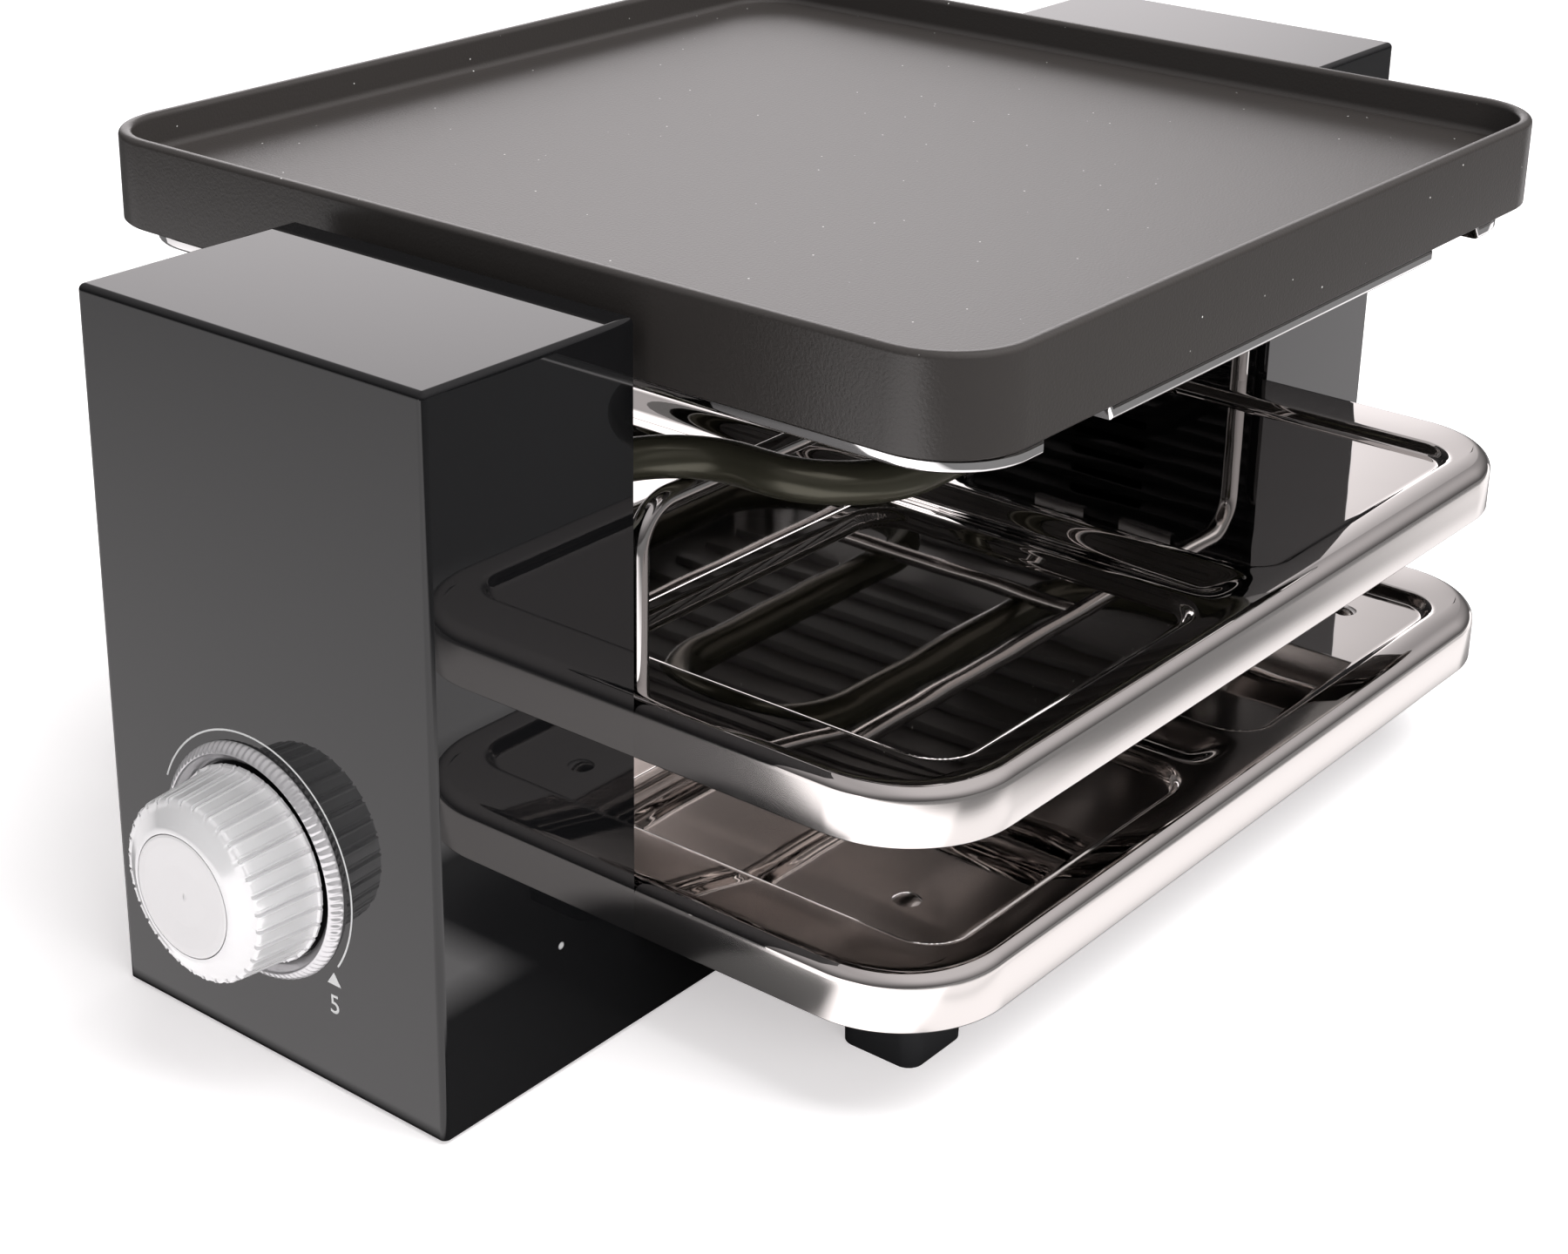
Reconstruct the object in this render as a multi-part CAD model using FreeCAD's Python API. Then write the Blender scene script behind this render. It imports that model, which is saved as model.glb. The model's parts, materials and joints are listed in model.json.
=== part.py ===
import FreeCAD, Part
import math
import os

V = FreeCAD.Vector
X_AXIS = V(1, 0, 0)
Y_AXIS = V(0, 1, 0)
Z_AXIS = V(0, 0, 1)

# Raclette grill for four. Millimetres, +Z up, -X is the housing with the heat knob, -Y is the front.
# Shapes are built about the middle of the trays; write() moves them so that the origin is on the
# table under the middle of the overall length, knob included.

# Driving sizes: whole grill
body_length = 308.0          # over the outer faces of both housings
housing_width = 47.0
housing_depth = 80.0
housing_height = 132.0       # table to the top face of a housing
floor_gap = 0.8              # housings and base hang this far over the table, on their pads
housing_wall = 2.5
housing_edge = 1.2           # edge rounding
fit = 0.15                   # clearance of covers and panels in their openings

# Driving sizes: panels, covers, base
panel_thickness = 2.0
cover_thickness = 2.0
vent_count = 5
vent_pitch = 5.0
vent_half = 9.0
vent_slot = 2.0
vent_rise = 15.8             # upper tray to the lowest vent
cover_slot_count = 4
cover_slot_pitch = 6.0
boss_radius = 3.5
boss_inset_y = 6.5           # cavity wall to a boss's axis
boss_low_z = 46.0
boss_drop = 14.0             # housing top to the upper bosses
boss_bore = 14.0
web_thickness = 1.6
cover_boss_inset_x = 14.0
cover_boss_inset_y = 4.5
cover_boss_top = 13.0
pilot_radius = 1.2
base_wall = 2.5
base_rib = 2.0
base_rib_lift = 4.0          # underside of the base to its ribs
base_screw_y = 14.0
base_screw_z = 10.0
plinth_half_depth = 27.0     # raised middle of the base, under the lower tray
plinth_clearance = 0.3

# Driving sizes: trays
tray_half_depth = 102.5
tray_corner = 22.0
tray_edge = 3.0              # rounding from the top face into the skirt
tray_skirt = 11.0
tray_sheet = 0.8
tray_bolt_inset = 4.5        # cavity wall to the bolts through the skirt
tray_bolt_drop = 6.8         # tray top to those bolts
upper_tray_top = 64.2
lower_tray_top = 29.6
recess_margin_x = 14.0       # tray edge to the pan recesses
recess_margin_y = 7.5
recess_inner_x = 9.5
recess_inner_y = 18.5
ridge_width = 3.0            # between a pan recess and the middle strip
recess_corner = 9.0
recess_depth = 2.0
valley_width = 15.0          # shallow groove between the left and right recesses
valley_depth = 1.8

# Driving sizes: grill plate
plate_gap = 4.5              # between plate and inner panels
plate_corner = 16.0
plate_rise = 5.0             # plate rim over the housings
plate_wall_height = 17.4
plate_rim = 2.6
plate_depth = 7.0            # rim to cooking floor
plate_floor = 4.0
plate_floor_fillet = 1.5
plate_rim_rounding = 1.1
rib_pitch = 11.5
rib_width = 4.0
rib_height = 1.8
rib_margin = 12.5            # plate edge to the end of a rib

# Driving sizes: chrome frame under the plate
frame_inset_x = 6.5          # plate edge to the frame
frame_inset_y = 4.0
frame_corner = 15.0
frame_sheet = 1.0
frame_drop = 4.6             # how far it shows below the plate
frame_lip = 6.0
frame_hem = 2.6
tab_width = 14.0
tab_y = 12.0
tab_flange = 12.0
tab_lift = 1.4               # frame's lower edge to its tabs

# Driving sizes: heating element and its wire rack
tube_radius = 3.75
tube_drop = 35.0             # plate rim to the tube's axis
tube_margin_y = 32.5         # plate edge to the outer runs
tube_inner_y = 19.5
tube_margin_x = 36.5         # plate edge to the far bends
tube_margin_near = 64.5      # plate edge to the near bends
tube_entry_y = 28.0
tube_run_in = 21.0           # inner panel to the first bend's corner
tube_bend = 19.0
pin_radius = 1.6
pin_length = 14.0
pin_hold = 5.0               # pin's end to the lead on it
sleeve_radius = 6.5
sleeve_flange = 8.0
sleeve_lip = 1.0
sleeve_length = 5.0          # behind the inner panel
tube_tail = 9.0              # tube behind the inner panel
pin_collar = 3.0
rack_radius = 2.0
rack_y = 36.0
rack_bend = 8.0
rack_cross_x = 40.0
rack_cross_radius = 1.7
rack_leg_gap = 5.5           # inner panel to a leg's axis
rack_seat = 0.1

# Driving sizes: knob and bezel
knob_y = 3.5
knob_z = 37.8
bezel_outer = 21.5
bezel_inner = 18.3
bezel_height = 2.0
bezel_teeth = 60
bezel_flat = 0.8
bezel_slope = 1.6
bezel_inner_slope = 0.5
knob_base_radius = 17.4
knob_rim_radius = 16.5
knob_gap = 1.0               # housing face to the knob's skirt
knob_length = 12.6           # skirt, from its open end to the rim
knob_cone = 2.3
knob_face_radius = 11.5
knob_flutes = 32
flute_radius = 1.15
knob_wall = 2.2
hub_radius = 5.5
shaft_radius = 3.0
shaft_clearance = 0.05
shaft_flat = 1.8             # axis to the flat
shaft_engagement = 7.0
cap_thickness = 1.4
cap_rise = 0.1
cap_dish = 0.3

# Driving sizes: thermostat
bush_radius = 4.9
nut_flats = 14.0
nut_height = 2.4
flange_thickness = 1.4
stat_width = 26.0
stat_height = 30.0
stat_depth = 15.0
spindle_reach = 4.0          # spindle behind the flange
bush_tail = 3.0
blade_thickness = 0.8
blade_width = 6.0
blade_spacing = 10.0
blade_step = 8.0             # long blade over the short one
blade_rise = 2.0             # short blade over the ceramic block

# Driving sizes: feet, pads, fasteners, wiring
foot_inset_x = 14.0          # recess edge to a foot's axis
foot_inset_y = 17.0
foot_size = 16.0
foot_corner = 3.0
foot_taper = 0.8
pad_radius = 6.0
pad_inset_y = 16.0
pad_lip = 0.8
pad_height = 3.0
screw_radius = 1.5
screw_head_radius = 3.2
screw_head_height = 1.8
screw_grip = 10.0            # screw in its boss
cover_screw_grip = 8.0
bolt_tail = 4.5              # bolt past the sheets it joins
nut_across = 6.8
bolt_nut_height = 3.0
bolt_radius = 2.0
bolt_head_radius = 3.6
rivet_radius = 1.6
rivet_grip = 8.0
rivet_head_radius = 2.6
rivet_head_height = 0.9
rivet_access = 3.2           # bore in the foot that reaches the rivet's lower head
lead_radius = 1.3
lead_bend = 3.0
lead_sling = 8.0             # a lead's run over what it joins
fuse_radius = 2.6
fuse_length = 22.0
fuse_rise = 13.8             # inlet to the fuse
block_rise = 30.2            # knob's axis to the terminal block's middle
block_half = 8.0
block_depth = 12.0
block_pole = 4.5             # block's middle to a pole
inlet_half_x = 13.2
inlet_half_z = 9.2
inlet_z = 23.0
inlet_depth = 18.0
inlet_lip = 1.0
pin_pitch = 7.0
tab_reach = 6.0              # solder tabs behind the inlet

# Derived places
half_length = body_length / 2
inner_x = half_length - housing_width
half_depth = housing_depth / 2
base_skirt_top = lower_tray_top - tray_skirt - 0.2
tray_floor = recess_depth + tray_sheet
base_top = lower_tray_top - tray_floor
plate_half = inner_x - plate_gap
plate_top = housing_height + plate_rise
plate_bottom = plate_top - plate_wall_height
frame_half_x = plate_half - frame_inset_x
frame_half_y = plate_half - frame_inset_y
rib_half_length = plate_half - rib_margin
recess_outer_x = inner_x - recess_margin_x
recess_outer_y = tray_half_depth - recess_margin_y
foot_x = recess_outer_x - foot_inset_x
foot_y = recess_outer_y - foot_inset_y
tube_z = plate_top - tube_drop
tube_outer_y = plate_half - tube_margin_y
tube_far_x = plate_half - tube_margin_x
tube_near_x = tube_margin_near - plate_half
tube_entry_x = tube_run_in - inner_x
rack_leg_x = inner_x - rack_leg_gap
plate_floor_top = plate_top - plate_depth
plate_underside = plate_floor_top - plate_floor
frame_bottom = plate_bottom - frame_drop
frame_top = plate_underside
cavity_x = half_length - housing_wall
cavity_y = half_depth - housing_wall
cavity_top = housing_height - housing_wall
panel_back = inner_x + panel_thickness
boss_y = cavity_y - boss_inset_y
boss_high_z = housing_height - boss_drop
tray_bolt_y = cavity_y - tray_bolt_inset
tab_z = frame_bottom + tab_lift
tab_screw_z = tab_z - tab_flange / 2
rack_z = tube_z - tube_radius - rack_radius - rack_seat
cover_boss_x = half_length - cover_boss_inset_x
cover_boss_y = cavity_y - cover_boss_inset_y
pad_x = inner_x + housing_width / 2
pad_y = half_depth - pad_inset_y


def box(x0, x1, y0, y1, z0, z1):
    return Part.makeBox(x1 - x0, y1 - y0, z1 - z0, V(x0, y0, z0))


def rod(start, end, radius):
    axis = end - start
    return Part.makeCylinder(radius, axis.Length, start, axis)


def plan_outline(half_x, half_y, corner, z, cx=0.0, cy=0.0):
    """Rounded rectangle in plan: four lines joined by quarter arcs."""
    edges = []
    straight_x = half_x - corner
    straight_y = half_y - corner
    turn = corner * (1 - math.sqrt(0.5))
    points = []
    for sx, sy in ((1, -1), (1, 1), (-1, 1), (-1, -1)):
        along_y = V(cx + sx * half_x, cy + sy * straight_y, z)
        middle = V(cx + sx * (half_x - turn), cy + sy * (half_y - turn), z)
        along_x = V(cx + sx * straight_x, cy + sy * half_y, z)
        pair = (along_x, middle, along_y) if sx == -sy else (along_y, middle, along_x)
        points.append(pair)
    for i, (start, middle, end) in enumerate(points):
        edges.append(Part.Arc(start, middle, end).toShape())
        following = points[(i + 1) % 4][0]
        edges.append(Part.LineSegment(end, following).toShape())
    return Part.Wire(edges)


def plan_block(half_x, half_y, corner, z0, z1, cx=0.0, cy=0.0):
    face = Part.Face(plan_outline(half_x, half_y, corner, z0, cx, cy))
    return face.extrude(V(0, 0, z1 - z0))


def plan_taper(low, high, z0, z1, cx=0.0, cy=0.0):
    """Rounded rectangle that changes from low to high, each (half_x, half_y, corner)."""
    wires = [plan_outline(*low, z0, cx, cy), plan_outline(*high, z1, cx, cy)]
    return Part.makeLoft(wires, True, True)


def polygon(points, depth):
    closed = points + [points[0]]
    return Part.Face(Part.makePolygon(closed)).extrude(depth)


def horizontal_edges_at(shape, z, tolerance=1e-4):
    found = []
    for edge in shape.Edges:
        bound = edge.BoundBox
        if abs(bound.ZMin - z) < tolerance and abs(bound.ZMax - z) < tolerance:
            found.append(edge)
    return found


def fuse(shapes):
    whole = shapes[0]
    if len(shapes) > 1:
        whole = whole.fuse(shapes[1:])
    return whole.removeSplitter()


def mirrored(shape):
    return shape.mirror(V(0, 0, 0), X_AXIS)


def bent_path(points, radius):
    """Straight runs joined by tangent arcs of one radius."""
    edges = []
    start = points[0]
    for before, corner, after in zip(points, points[1:], points[2:]):
        towards = (before - corner).normalize()
        away = (after - corner).normalize()
        half_angle = towards.getAngle(away) / 2
        reach = radius / math.tan(half_angle)
        first = corner + towards * reach
        last = corner + away * reach
        middle_way = (towards + away).normalize()
        centre_distance = radius / math.sin(half_angle)
        middle = corner + middle_way * (centre_distance - radius)
        edges.append(Part.LineSegment(start, first).toShape())
        edges.append(Part.Arc(first, middle, last).toShape())
        start = last
    edges.append(Part.LineSegment(start, points[-1]).toShape())
    return Part.Wire(edges)


def tube(points, bend, radius):
    path = bent_path(points, bend)
    heading = points[1] - points[0]
    profile = Part.Wire(Part.makeCircle(radius, points[0], heading))
    return path.makePipeShell([profile], True, False)


def screw(tip, head_side, length, shank, head, head_height):
    """Pan-head screw: tip point, direction towards the head, length under the head."""
    direction = V(head_side).normalize()
    seat = tip + direction * length
    body = Part.makeCylinder(shank, length, tip, direction)
    top = Part.makeCone(head, head * 0.72, head_height, seat, direction)
    slot_depth = head_height * 0.45
    recess = Part.makeCylinder(head * 0.34, slot_depth, seat + direction * (head_height - slot_depth), direction)
    return body.fuse(top).cut(recess)


def hex_nut(centre, direction, flats, height, bore):
    corner = flats / math.sqrt(3)
    ring = []
    for i in range(6):
        angle = math.radians(60 * i)
        ring.append(V(0, corner * math.cos(angle), corner * math.sin(angle)))
    nut = polygon([centre + p for p in ring], direction * height)
    return nut.cut(Part.makeCylinder(bore, height, centre, direction))


# Housings: a moulded shell, open on the side that faces the trays and at the bottom

def housing_shell():
    shell = box(inner_x, half_length, -half_depth, half_depth, floor_gap, housing_height)
    outer_edges = []
    for edge in shell.Edges:
        bound = edge.BoundBox
        at_inner = bound.XMax < inner_x + 1e-6
        at_bottom = bound.ZMax < floor_gap + 1e-6
        if not at_inner and not at_bottom:
            outer_edges.append(edge)
    shell = shell.makeFillet(housing_edge, outer_edges)
    shell = shell.cut(box(inner_x - 1, cavity_x, -cavity_y, cavity_y, floor_gap - 1, cavity_top))
    bosses = []
    for side in (-1, 1):
        for z in (boss_low_z, boss_high_z):
            foot = V(panel_back, side * boss_y, z)
            bosses.append(rod(foot, V(cavity_x + 0.5, side * boss_y, z), boss_radius))
            web_y = sorted((side * boss_y, side * (cavity_y + 0.5)))
            bosses.append(box(panel_back + 4, cavity_x + 0.5, web_y[0], web_y[1], z - web_thickness / 2, z + web_thickness / 2))
        post = V(cover_boss_x, side * cover_boss_y, floor_gap + cover_thickness)
        bosses.append(rod(post, V(cover_boss_x, side * cover_boss_y, cover_boss_top), boss_radius))
        web_y = sorted((side * (cover_boss_y + 1), side * (cavity_y + 0.5)))
        bosses.append(box(cover_boss_x - web_thickness / 2, cover_boss_x + web_thickness / 2, web_y[0], web_y[1], post.z, cover_boss_top))
    shell = fuse([shell] + bosses)
    for side in (-1, 1):
        for z in (boss_low_z, boss_high_z):
            mouth = V(panel_back, side * boss_y, z)
            shell = shell.cut(rod(mouth, mouth + V(boss_bore, 0, 0), pilot_radius))
        mouth = V(cover_boss_x, side * cover_boss_y, floor_gap + cover_thickness)
        shell = shell.cut(rod(mouth, mouth + V(0, 0, cover_screw_grip + 1), pilot_radius))
    return shell


def left_housing():
    shell = mirrored(housing_shell())
    knob_hole = V(-half_length - 1, knob_y, knob_z)
    shell = shell.cut(rod(knob_hole, knob_hole + V(housing_wall + 2, 0, 0), bush_radius + 0.1))
    opening = box(-pad_x - inlet_half_x, -pad_x + inlet_half_x, cavity_y - 1, half_depth + 1,
                  inlet_z - inlet_half_z, inlet_z + inlet_half_z)
    shell = shell.cut(opening)
    return shell.removeSplitter()


def inner_panel():
    """Sheet that closes the tray side of a housing, flush with the shell's rim."""
    panel = box(inner_x, panel_back, -cavity_y + fit, cavity_y - fit, floor_gap, cavity_top - fit)
    holes = []
    for side in (-1, 1):
        for z in (boss_low_z, boss_high_z):
            holes.append((side * boss_y, z, screw_radius + fit))
        holes.append((side * base_screw_y, base_screw_z, screw_radius + fit))
        holes.append((side * tab_y, tab_screw_z, bolt_radius + fit))
        for tray_top in (upper_tray_top, lower_tray_top):
            holes.append((side * tray_bolt_y, tray_top - tray_bolt_drop, bolt_radius + fit))
    for y, z, radius in holes:
        panel = panel.cut(rod(V(inner_x - 1, y, z), V(panel_back + 1, y, z), radius))
    for i in range(vent_count):
        z = upper_tray_top + vent_rise + vent_pitch * i
        slot = rod(V(inner_x - 1, -vent_half, z), V(panel_back + 1, -vent_half, z), vent_slot / 2)
        slot = slot.fuse(rod(V(inner_x - 1, vent_half, z), V(panel_back + 1, vent_half, z), vent_slot / 2))
        slot = slot.fuse(box(inner_x - 1, panel_back + 1, -vent_half, vent_half, z - vent_slot / 2, z + vent_slot / 2))
        panel = panel.cut(slot)
    return panel


def left_inner_panel():
    panel = mirrored(inner_panel())
    for side in (-1, 1):
        entry = V(-panel_back - 1, side * tube_entry_y, tube_z)
        panel = panel.cut(rod(entry, entry + V(panel_thickness + 2, 0, 0), sleeve_radius))
    return panel


def bottom_cover():
    inner_edge = panel_back + fit
    cover = box(inner_edge, cavity_x - fit, -cavity_y + fit, cavity_y - fit, floor_gap, floor_gap + cover_thickness)
    for side in (-1, 1):
        hole = V(cover_boss_x, side * cover_boss_y, floor_gap - 1)
        sink = Part.makeCone(screw_head_radius, pilot_radius, cover_thickness, hole + V(0, 0, 1), Z_AXIS)
        cover = cover.cut(rod(hole, hole + V(0, 0, 1.01), screw_head_radius)).cut(sink)
        pocket = V(pad_x, side * pad_y, floor_gap - 1)
        cover = cover.cut(rod(pocket, pocket + V(0, 0, cover_thickness + 2), pad_radius))
    for i in range(cover_slot_count):
        x = pad_x + cover_slot_pitch * (i - (cover_slot_count - 1) / 2)
        cover = cover.cut(box(x - vent_slot / 2, x + vent_slot / 2, -vent_half, vent_half, floor_gap - 1, floor_gap + cover_thickness + 1))
    return cover


def rubber_pads(sign):
    """Grooved rubber buttons pressed into the bottom cover; they carry the housing."""
    pads = []
    for side in (-1, 1):
        centre = V(sign * pad_x, side * pad_y, 0)
        pad = rod(centre, centre + V(0, 0, floor_gap + cover_thickness), pad_radius)
        pad = pad.fuse(rod(centre + V(0, 0, floor_gap + cover_thickness), centre + V(0, 0, floor_gap + pad_height),
                           pad_radius + pad_lip))
        pads.append(pad)
    return Part.makeCompound(pads)


# Base: low moulded bridge between the housings, with a narrow plinth under the lower tray

def base():
    low = box(-inner_x, inner_x, -half_depth, half_depth, floor_gap, base_skirt_top)
    plinth_x = inner_x - tray_sheet - plinth_clearance
    plinth = box(-plinth_x, plinth_x, -plinth_half_depth, plinth_half_depth, base_skirt_top - 1, base_top)
    hollow = box(-inner_x + base_wall, inner_x - base_wall, -half_depth + base_wall, half_depth - base_wall,
                 floor_gap - 1, base_skirt_top - base_wall)
    plinth_hollow = box(-plinth_x + base_wall, plinth_x - base_wall, -plinth_half_depth + base_wall,
                        plinth_half_depth - base_wall, base_skirt_top - base_wall - 1, base_top - base_wall)
    shape = low.fuse(plinth).cut(hollow).cut(plinth_hollow)
    extras = []
    for x in (-inner_x / 2, 0, inner_x / 2):
        extras.append(box(x - base_rib / 2, x + base_rib / 2, -half_depth + base_wall / 2, half_depth - base_wall / 2, floor_gap + base_rib_lift,
                          base_skirt_top - base_wall / 2))
    for sign in (-1, 1):
        for side in (-1, 1):
            start = V(sign * (inner_x - 0.5), side * base_screw_y, base_screw_z)
            extras.append(rod(start, start - V(sign * (screw_grip + 5), 0, 0), boss_radius))
    shape = fuse([shape] + extras)
    for sign in (-1, 1):
        for side in (-1, 1):
            mouth = V(sign * inner_x, side * base_screw_y, base_screw_z)
            shape = shape.cut(rod(mouth, mouth - V(sign * (screw_grip + 3), 0, 0), pilot_radius))
    return shape


# Trays: pressed sheet covers with a skirt, four pan recesses, two middle strips and a groove

def tray_presses():
    """Each pressed field as (centre x, centre y, half x, half y, corner, depth)."""
    pan_x = (recess_outer_x + recess_inner_x) / 2
    pan_y = (recess_outer_y + recess_inner_y) / 2
    half_x = (recess_outer_x - recess_inner_x) / 2
    half_y = (recess_outer_y - recess_inner_y) / 2
    strip_half = recess_inner_y - ridge_width
    fields = []
    for sx in (-1, 1):
        fields.append((sx * pan_x, 0, half_x, strip_half, recess_corner * 0.6, recess_depth))
        for sy in (-1, 1):
            fields.append((sx * pan_x, sy * pan_y, half_x, half_y, recess_corner, recess_depth))
    return fields


def tray(top):
    bottom = top - tray_skirt
    outer = plan_block(inner_x, tray_half_depth, tray_corner, bottom, top)
    outer = outer.makeFillet(tray_edge, horizontal_edges_at(outer, top))
    inner = plan_block(inner_x - tray_sheet, tray_half_depth - tray_sheet, tray_corner - tray_sheet,
                       bottom - 1, top - tray_sheet)
    inner = inner.makeFillet(tray_edge - tray_sheet, horizontal_edges_at(inner, top - tray_sheet))
    skin = outer.cut(inner)
    pressed_down = []
    pressed_in = []
    for cx, cy, hx, hy, corner, depth in tray_presses():
        run = depth
        wide = (hx, hy, corner)
        narrow = (hx - run, hy - run, corner - run)
        wide_out = tuple(v + tray_sheet for v in wide)
        narrow_out = tuple(v + tray_sheet * 0.6 for v in narrow)
        pressed_down.append(plan_taper(narrow_out, wide_out, top - depth - tray_sheet, top - tray_sheet / 2, cx, cy))
        pressed_in.append(plan_taper(narrow, wide, top - depth, top, cx, cy))
    groove = groove_block(top, 0.0)
    skin = fuse([skin] + pressed_down + [groove_block(top - tray_sheet, tray_sheet * 0.5)])
    for cutter in pressed_in:
        skin = skin.cut(cutter)
    skin = skin.cut(groove)
    for sign in (-1, 1):
        for side in (-1, 1):
            hole = V(sign * (inner_x + 1), side * tray_bolt_y, top - tray_bolt_drop)
            skin = skin.cut(rod(hole, hole - V(sign * (tray_sheet + 2), 0, 0), bolt_radius + fit))
    return skin


def groove_block(top, grow):
    """Shallow V groove along Y, hipped at both ends."""
    half = valley_width / 2 + grow
    reach = recess_outer_y + grow
    wide = [V(-half, -reach, top), V(half, -reach, top), V(half, reach, top), V(-half, reach, top)]
    ridge = 0.4 + grow
    end = reach - valley_width / 2
    deep = top - valley_depth
    narrow = [V(-ridge, -end, deep), V(ridge, -end, deep), V(ridge, end, deep), V(-ridge, end, deep)]
    wires = [Part.makePolygon(narrow + [narrow[0]]), Part.makePolygon(wide + [wide[0]])]
    return Part.makeLoft(wires, True, True)


def lower_tray():
    shape = tray(lower_tray_top)
    for sx in (-1, 1):
        for sy in (-1, 1):
            hole = V(sx * foot_x, sy * foot_y, base_top - 1)
            shape = shape.cut(rod(hole, hole + V(0, 0, tray_sheet + 2), rivet_radius))
    return shape


def corner_foot(sx, sy):
    """Tapered square foot under a corner of the lower tray."""
    half = foot_size / 2
    low = (half, half, foot_corner)
    high = (half + foot_taper, half + foot_taper, foot_corner + foot_taper)
    foot = plan_taper(low, high, 0, base_top, sx * foot_x, sy * foot_y)
    hole = V(sx * foot_x, sy * foot_y, 0)
    foot = foot.cut(rod(hole, hole + V(0, 0, base_top - rivet_grip), rivet_access))
    return foot.cut(rod(hole, hole + V(0, 0, base_top + 1), rivet_radius))


def foot_rivets():
    rivets = []
    for sx in (-1, 1):
        for sy in (-1, 1):
            seat = V(sx * foot_x, sy * foot_y, base_top + tray_sheet)
            low = seat - V(0, 0, tray_sheet + rivet_grip)
            shank = rod(low, seat, rivet_radius).fuse(rod(low - V(0, 0, rivet_head_height), low, rivet_head_radius))
            dome_radius = (rivet_head_radius ** 2 + rivet_head_height ** 2) / (2 * rivet_head_height)
            dome = Part.makeSphere(dome_radius, seat + V(0, 0, rivet_head_height - dome_radius))
            head = dome.common(rod(seat, seat + V(0, 0, rivet_head_height + 1), rivet_head_radius + 1))
            rivets.append(shank.fuse(head).removeSplitter())
    return Part.makeCompound(rivets)


# Grill plate: cast tray with a thin rim and grill ribs on its underside

def grill_plate():
    outer = plan_block(plate_half, plate_half, plate_corner, plate_bottom, plate_top)
    inner_half = plate_half - plate_rim
    draft = 0.5
    low = (inner_half - draft, inner_half - draft, plate_corner - plate_rim - draft)
    high = (inner_half, inner_half, plate_corner - plate_rim)
    pocket = plan_taper(low, high, plate_floor_top, plate_top)
    pocket = pocket.makeFillet(plate_floor_fillet, horizontal_edges_at(pocket, plate_floor_top))
    plate = outer.cut(pocket)
    under = (inner_half - 0.2, inner_half - 0.2, plate_corner - plate_rim - 0.2)
    plate = plate.cut(plan_block(*under, plate_bottom - 1, plate_underside))
    rim_edges = horizontal_edges_at(plate, plate_top)
    plate = plate.makeFillet(plate_rim_rounding, rim_edges)
    reach = frame_half_x - frame_sheet - frame_lip / 2
    count = int(2 * (reach - rib_width) / rib_pitch) + 1
    ribs = []
    for i in range(count):
        x = rib_pitch * (i - (count - 1) / 2)
        ribs.append(rib(x))
    return plate.fuse(ribs).removeSplitter()


def rib(x):
    """Rib with sloped sides, running front to back."""
    half = rib_width / 2
    crest = half - 0.6
    low = plate_underside - rib_height
    start = -rib_half_length
    section = [V(x - half, start, plate_underside + 0.2), V(x + half, start, plate_underside + 0.2),
               V(x + crest, start, low), V(x - crest, start, low)]
    return polygon(section, V(0, 2 * rib_half_length, 0))


# Chrome frame: bent strip with a hemmed lower edge, an inner lip and four screwed tabs

def reflector_frame():
    outer = (frame_half_x, frame_half_y, frame_corner)
    inner = tuple(v - frame_sheet for v in outer)
    wall = plan_block(*outer, frame_bottom, frame_top).cut(plan_block(*inner, frame_bottom - 1, frame_top + 1))
    hem_out = tuple(v + frame_sheet for v in outer)
    hem = plan_block(*hem_out, frame_bottom, frame_bottom + frame_hem)
    hem = hem.makeFillet(frame_sheet * 0.9, horizontal_edges_at(hem, frame_bottom))
    hem = hem.cut(plan_block(*inner, frame_bottom - 1, frame_top))
    lip_in = tuple(v - frame_lip for v in inner)
    lip = plan_block(*outer, frame_bottom, frame_bottom + frame_sheet)
    lip = lip.cut(plan_block(*lip_in, frame_bottom - 1, frame_top))
    lip = lip.cut(plan_block(*hem_out, frame_bottom - 1, frame_top).cut(plan_block(*inner, frame_bottom - 2, frame_top + 1)))
    tabs = []
    for sign in (-1, 1):
        for side in (-1, 1):
            y = side * tab_y
            x_in = frame_half_x - frame_sheet / 2
            arm_x = sorted((sign * x_in, sign * inner_x))
            tabs.append(box(arm_x[0], arm_x[1], y - tab_width / 2, y + tab_width / 2, tab_z, tab_z + frame_sheet))
            flange_x = sorted((sign * (inner_x - frame_sheet), sign * inner_x))
            flange = box(flange_x[0], flange_x[1], y - tab_width / 2, y + tab_width / 2,
                         tab_z - tab_flange, tab_z + frame_sheet)
            hole = V(sign * (inner_x + 1), y, tab_screw_z)
            tabs.append(flange.cut(rod(hole, hole - V(sign * (frame_sheet + 2), 0, 0), bolt_radius + fit)))
    return fuse([wall, hem, lip] + tabs)


# Heating element: one tube bent in plan, both ends in the knob-side housing

def element_route():
    z = tube_z
    half = [V(-panel_back - tube_tail, tube_entry_y, z), V(tube_entry_x, tube_entry_y, z),
            V(tube_entry_x, tube_outer_y, z), V(tube_far_x, tube_outer_y, z),
            V(tube_far_x, tube_inner_y, z), V(tube_near_x, tube_inner_y, z)]
    other = [V(p.x, -p.y, p.z) for p in reversed(half)]
    return half + other


def heating_element():
    return tube(element_route(), tube_bend, tube_radius)


def element_pins():
    """Cold pins that stand out of the tube's two ends, each with its collar."""
    pins = []
    for side in (-1, 1):
        start = V(-panel_back - tube_tail, side * tube_entry_y, tube_z)
        collar = rod(start - V(pin_collar, 0, 0), start, tube_radius * 0.8)
        pins.append(collar.fuse(rod(start - V(pin_length, 0, 0), start, pin_radius)))
    return Part.makeCompound(pins)


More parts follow.
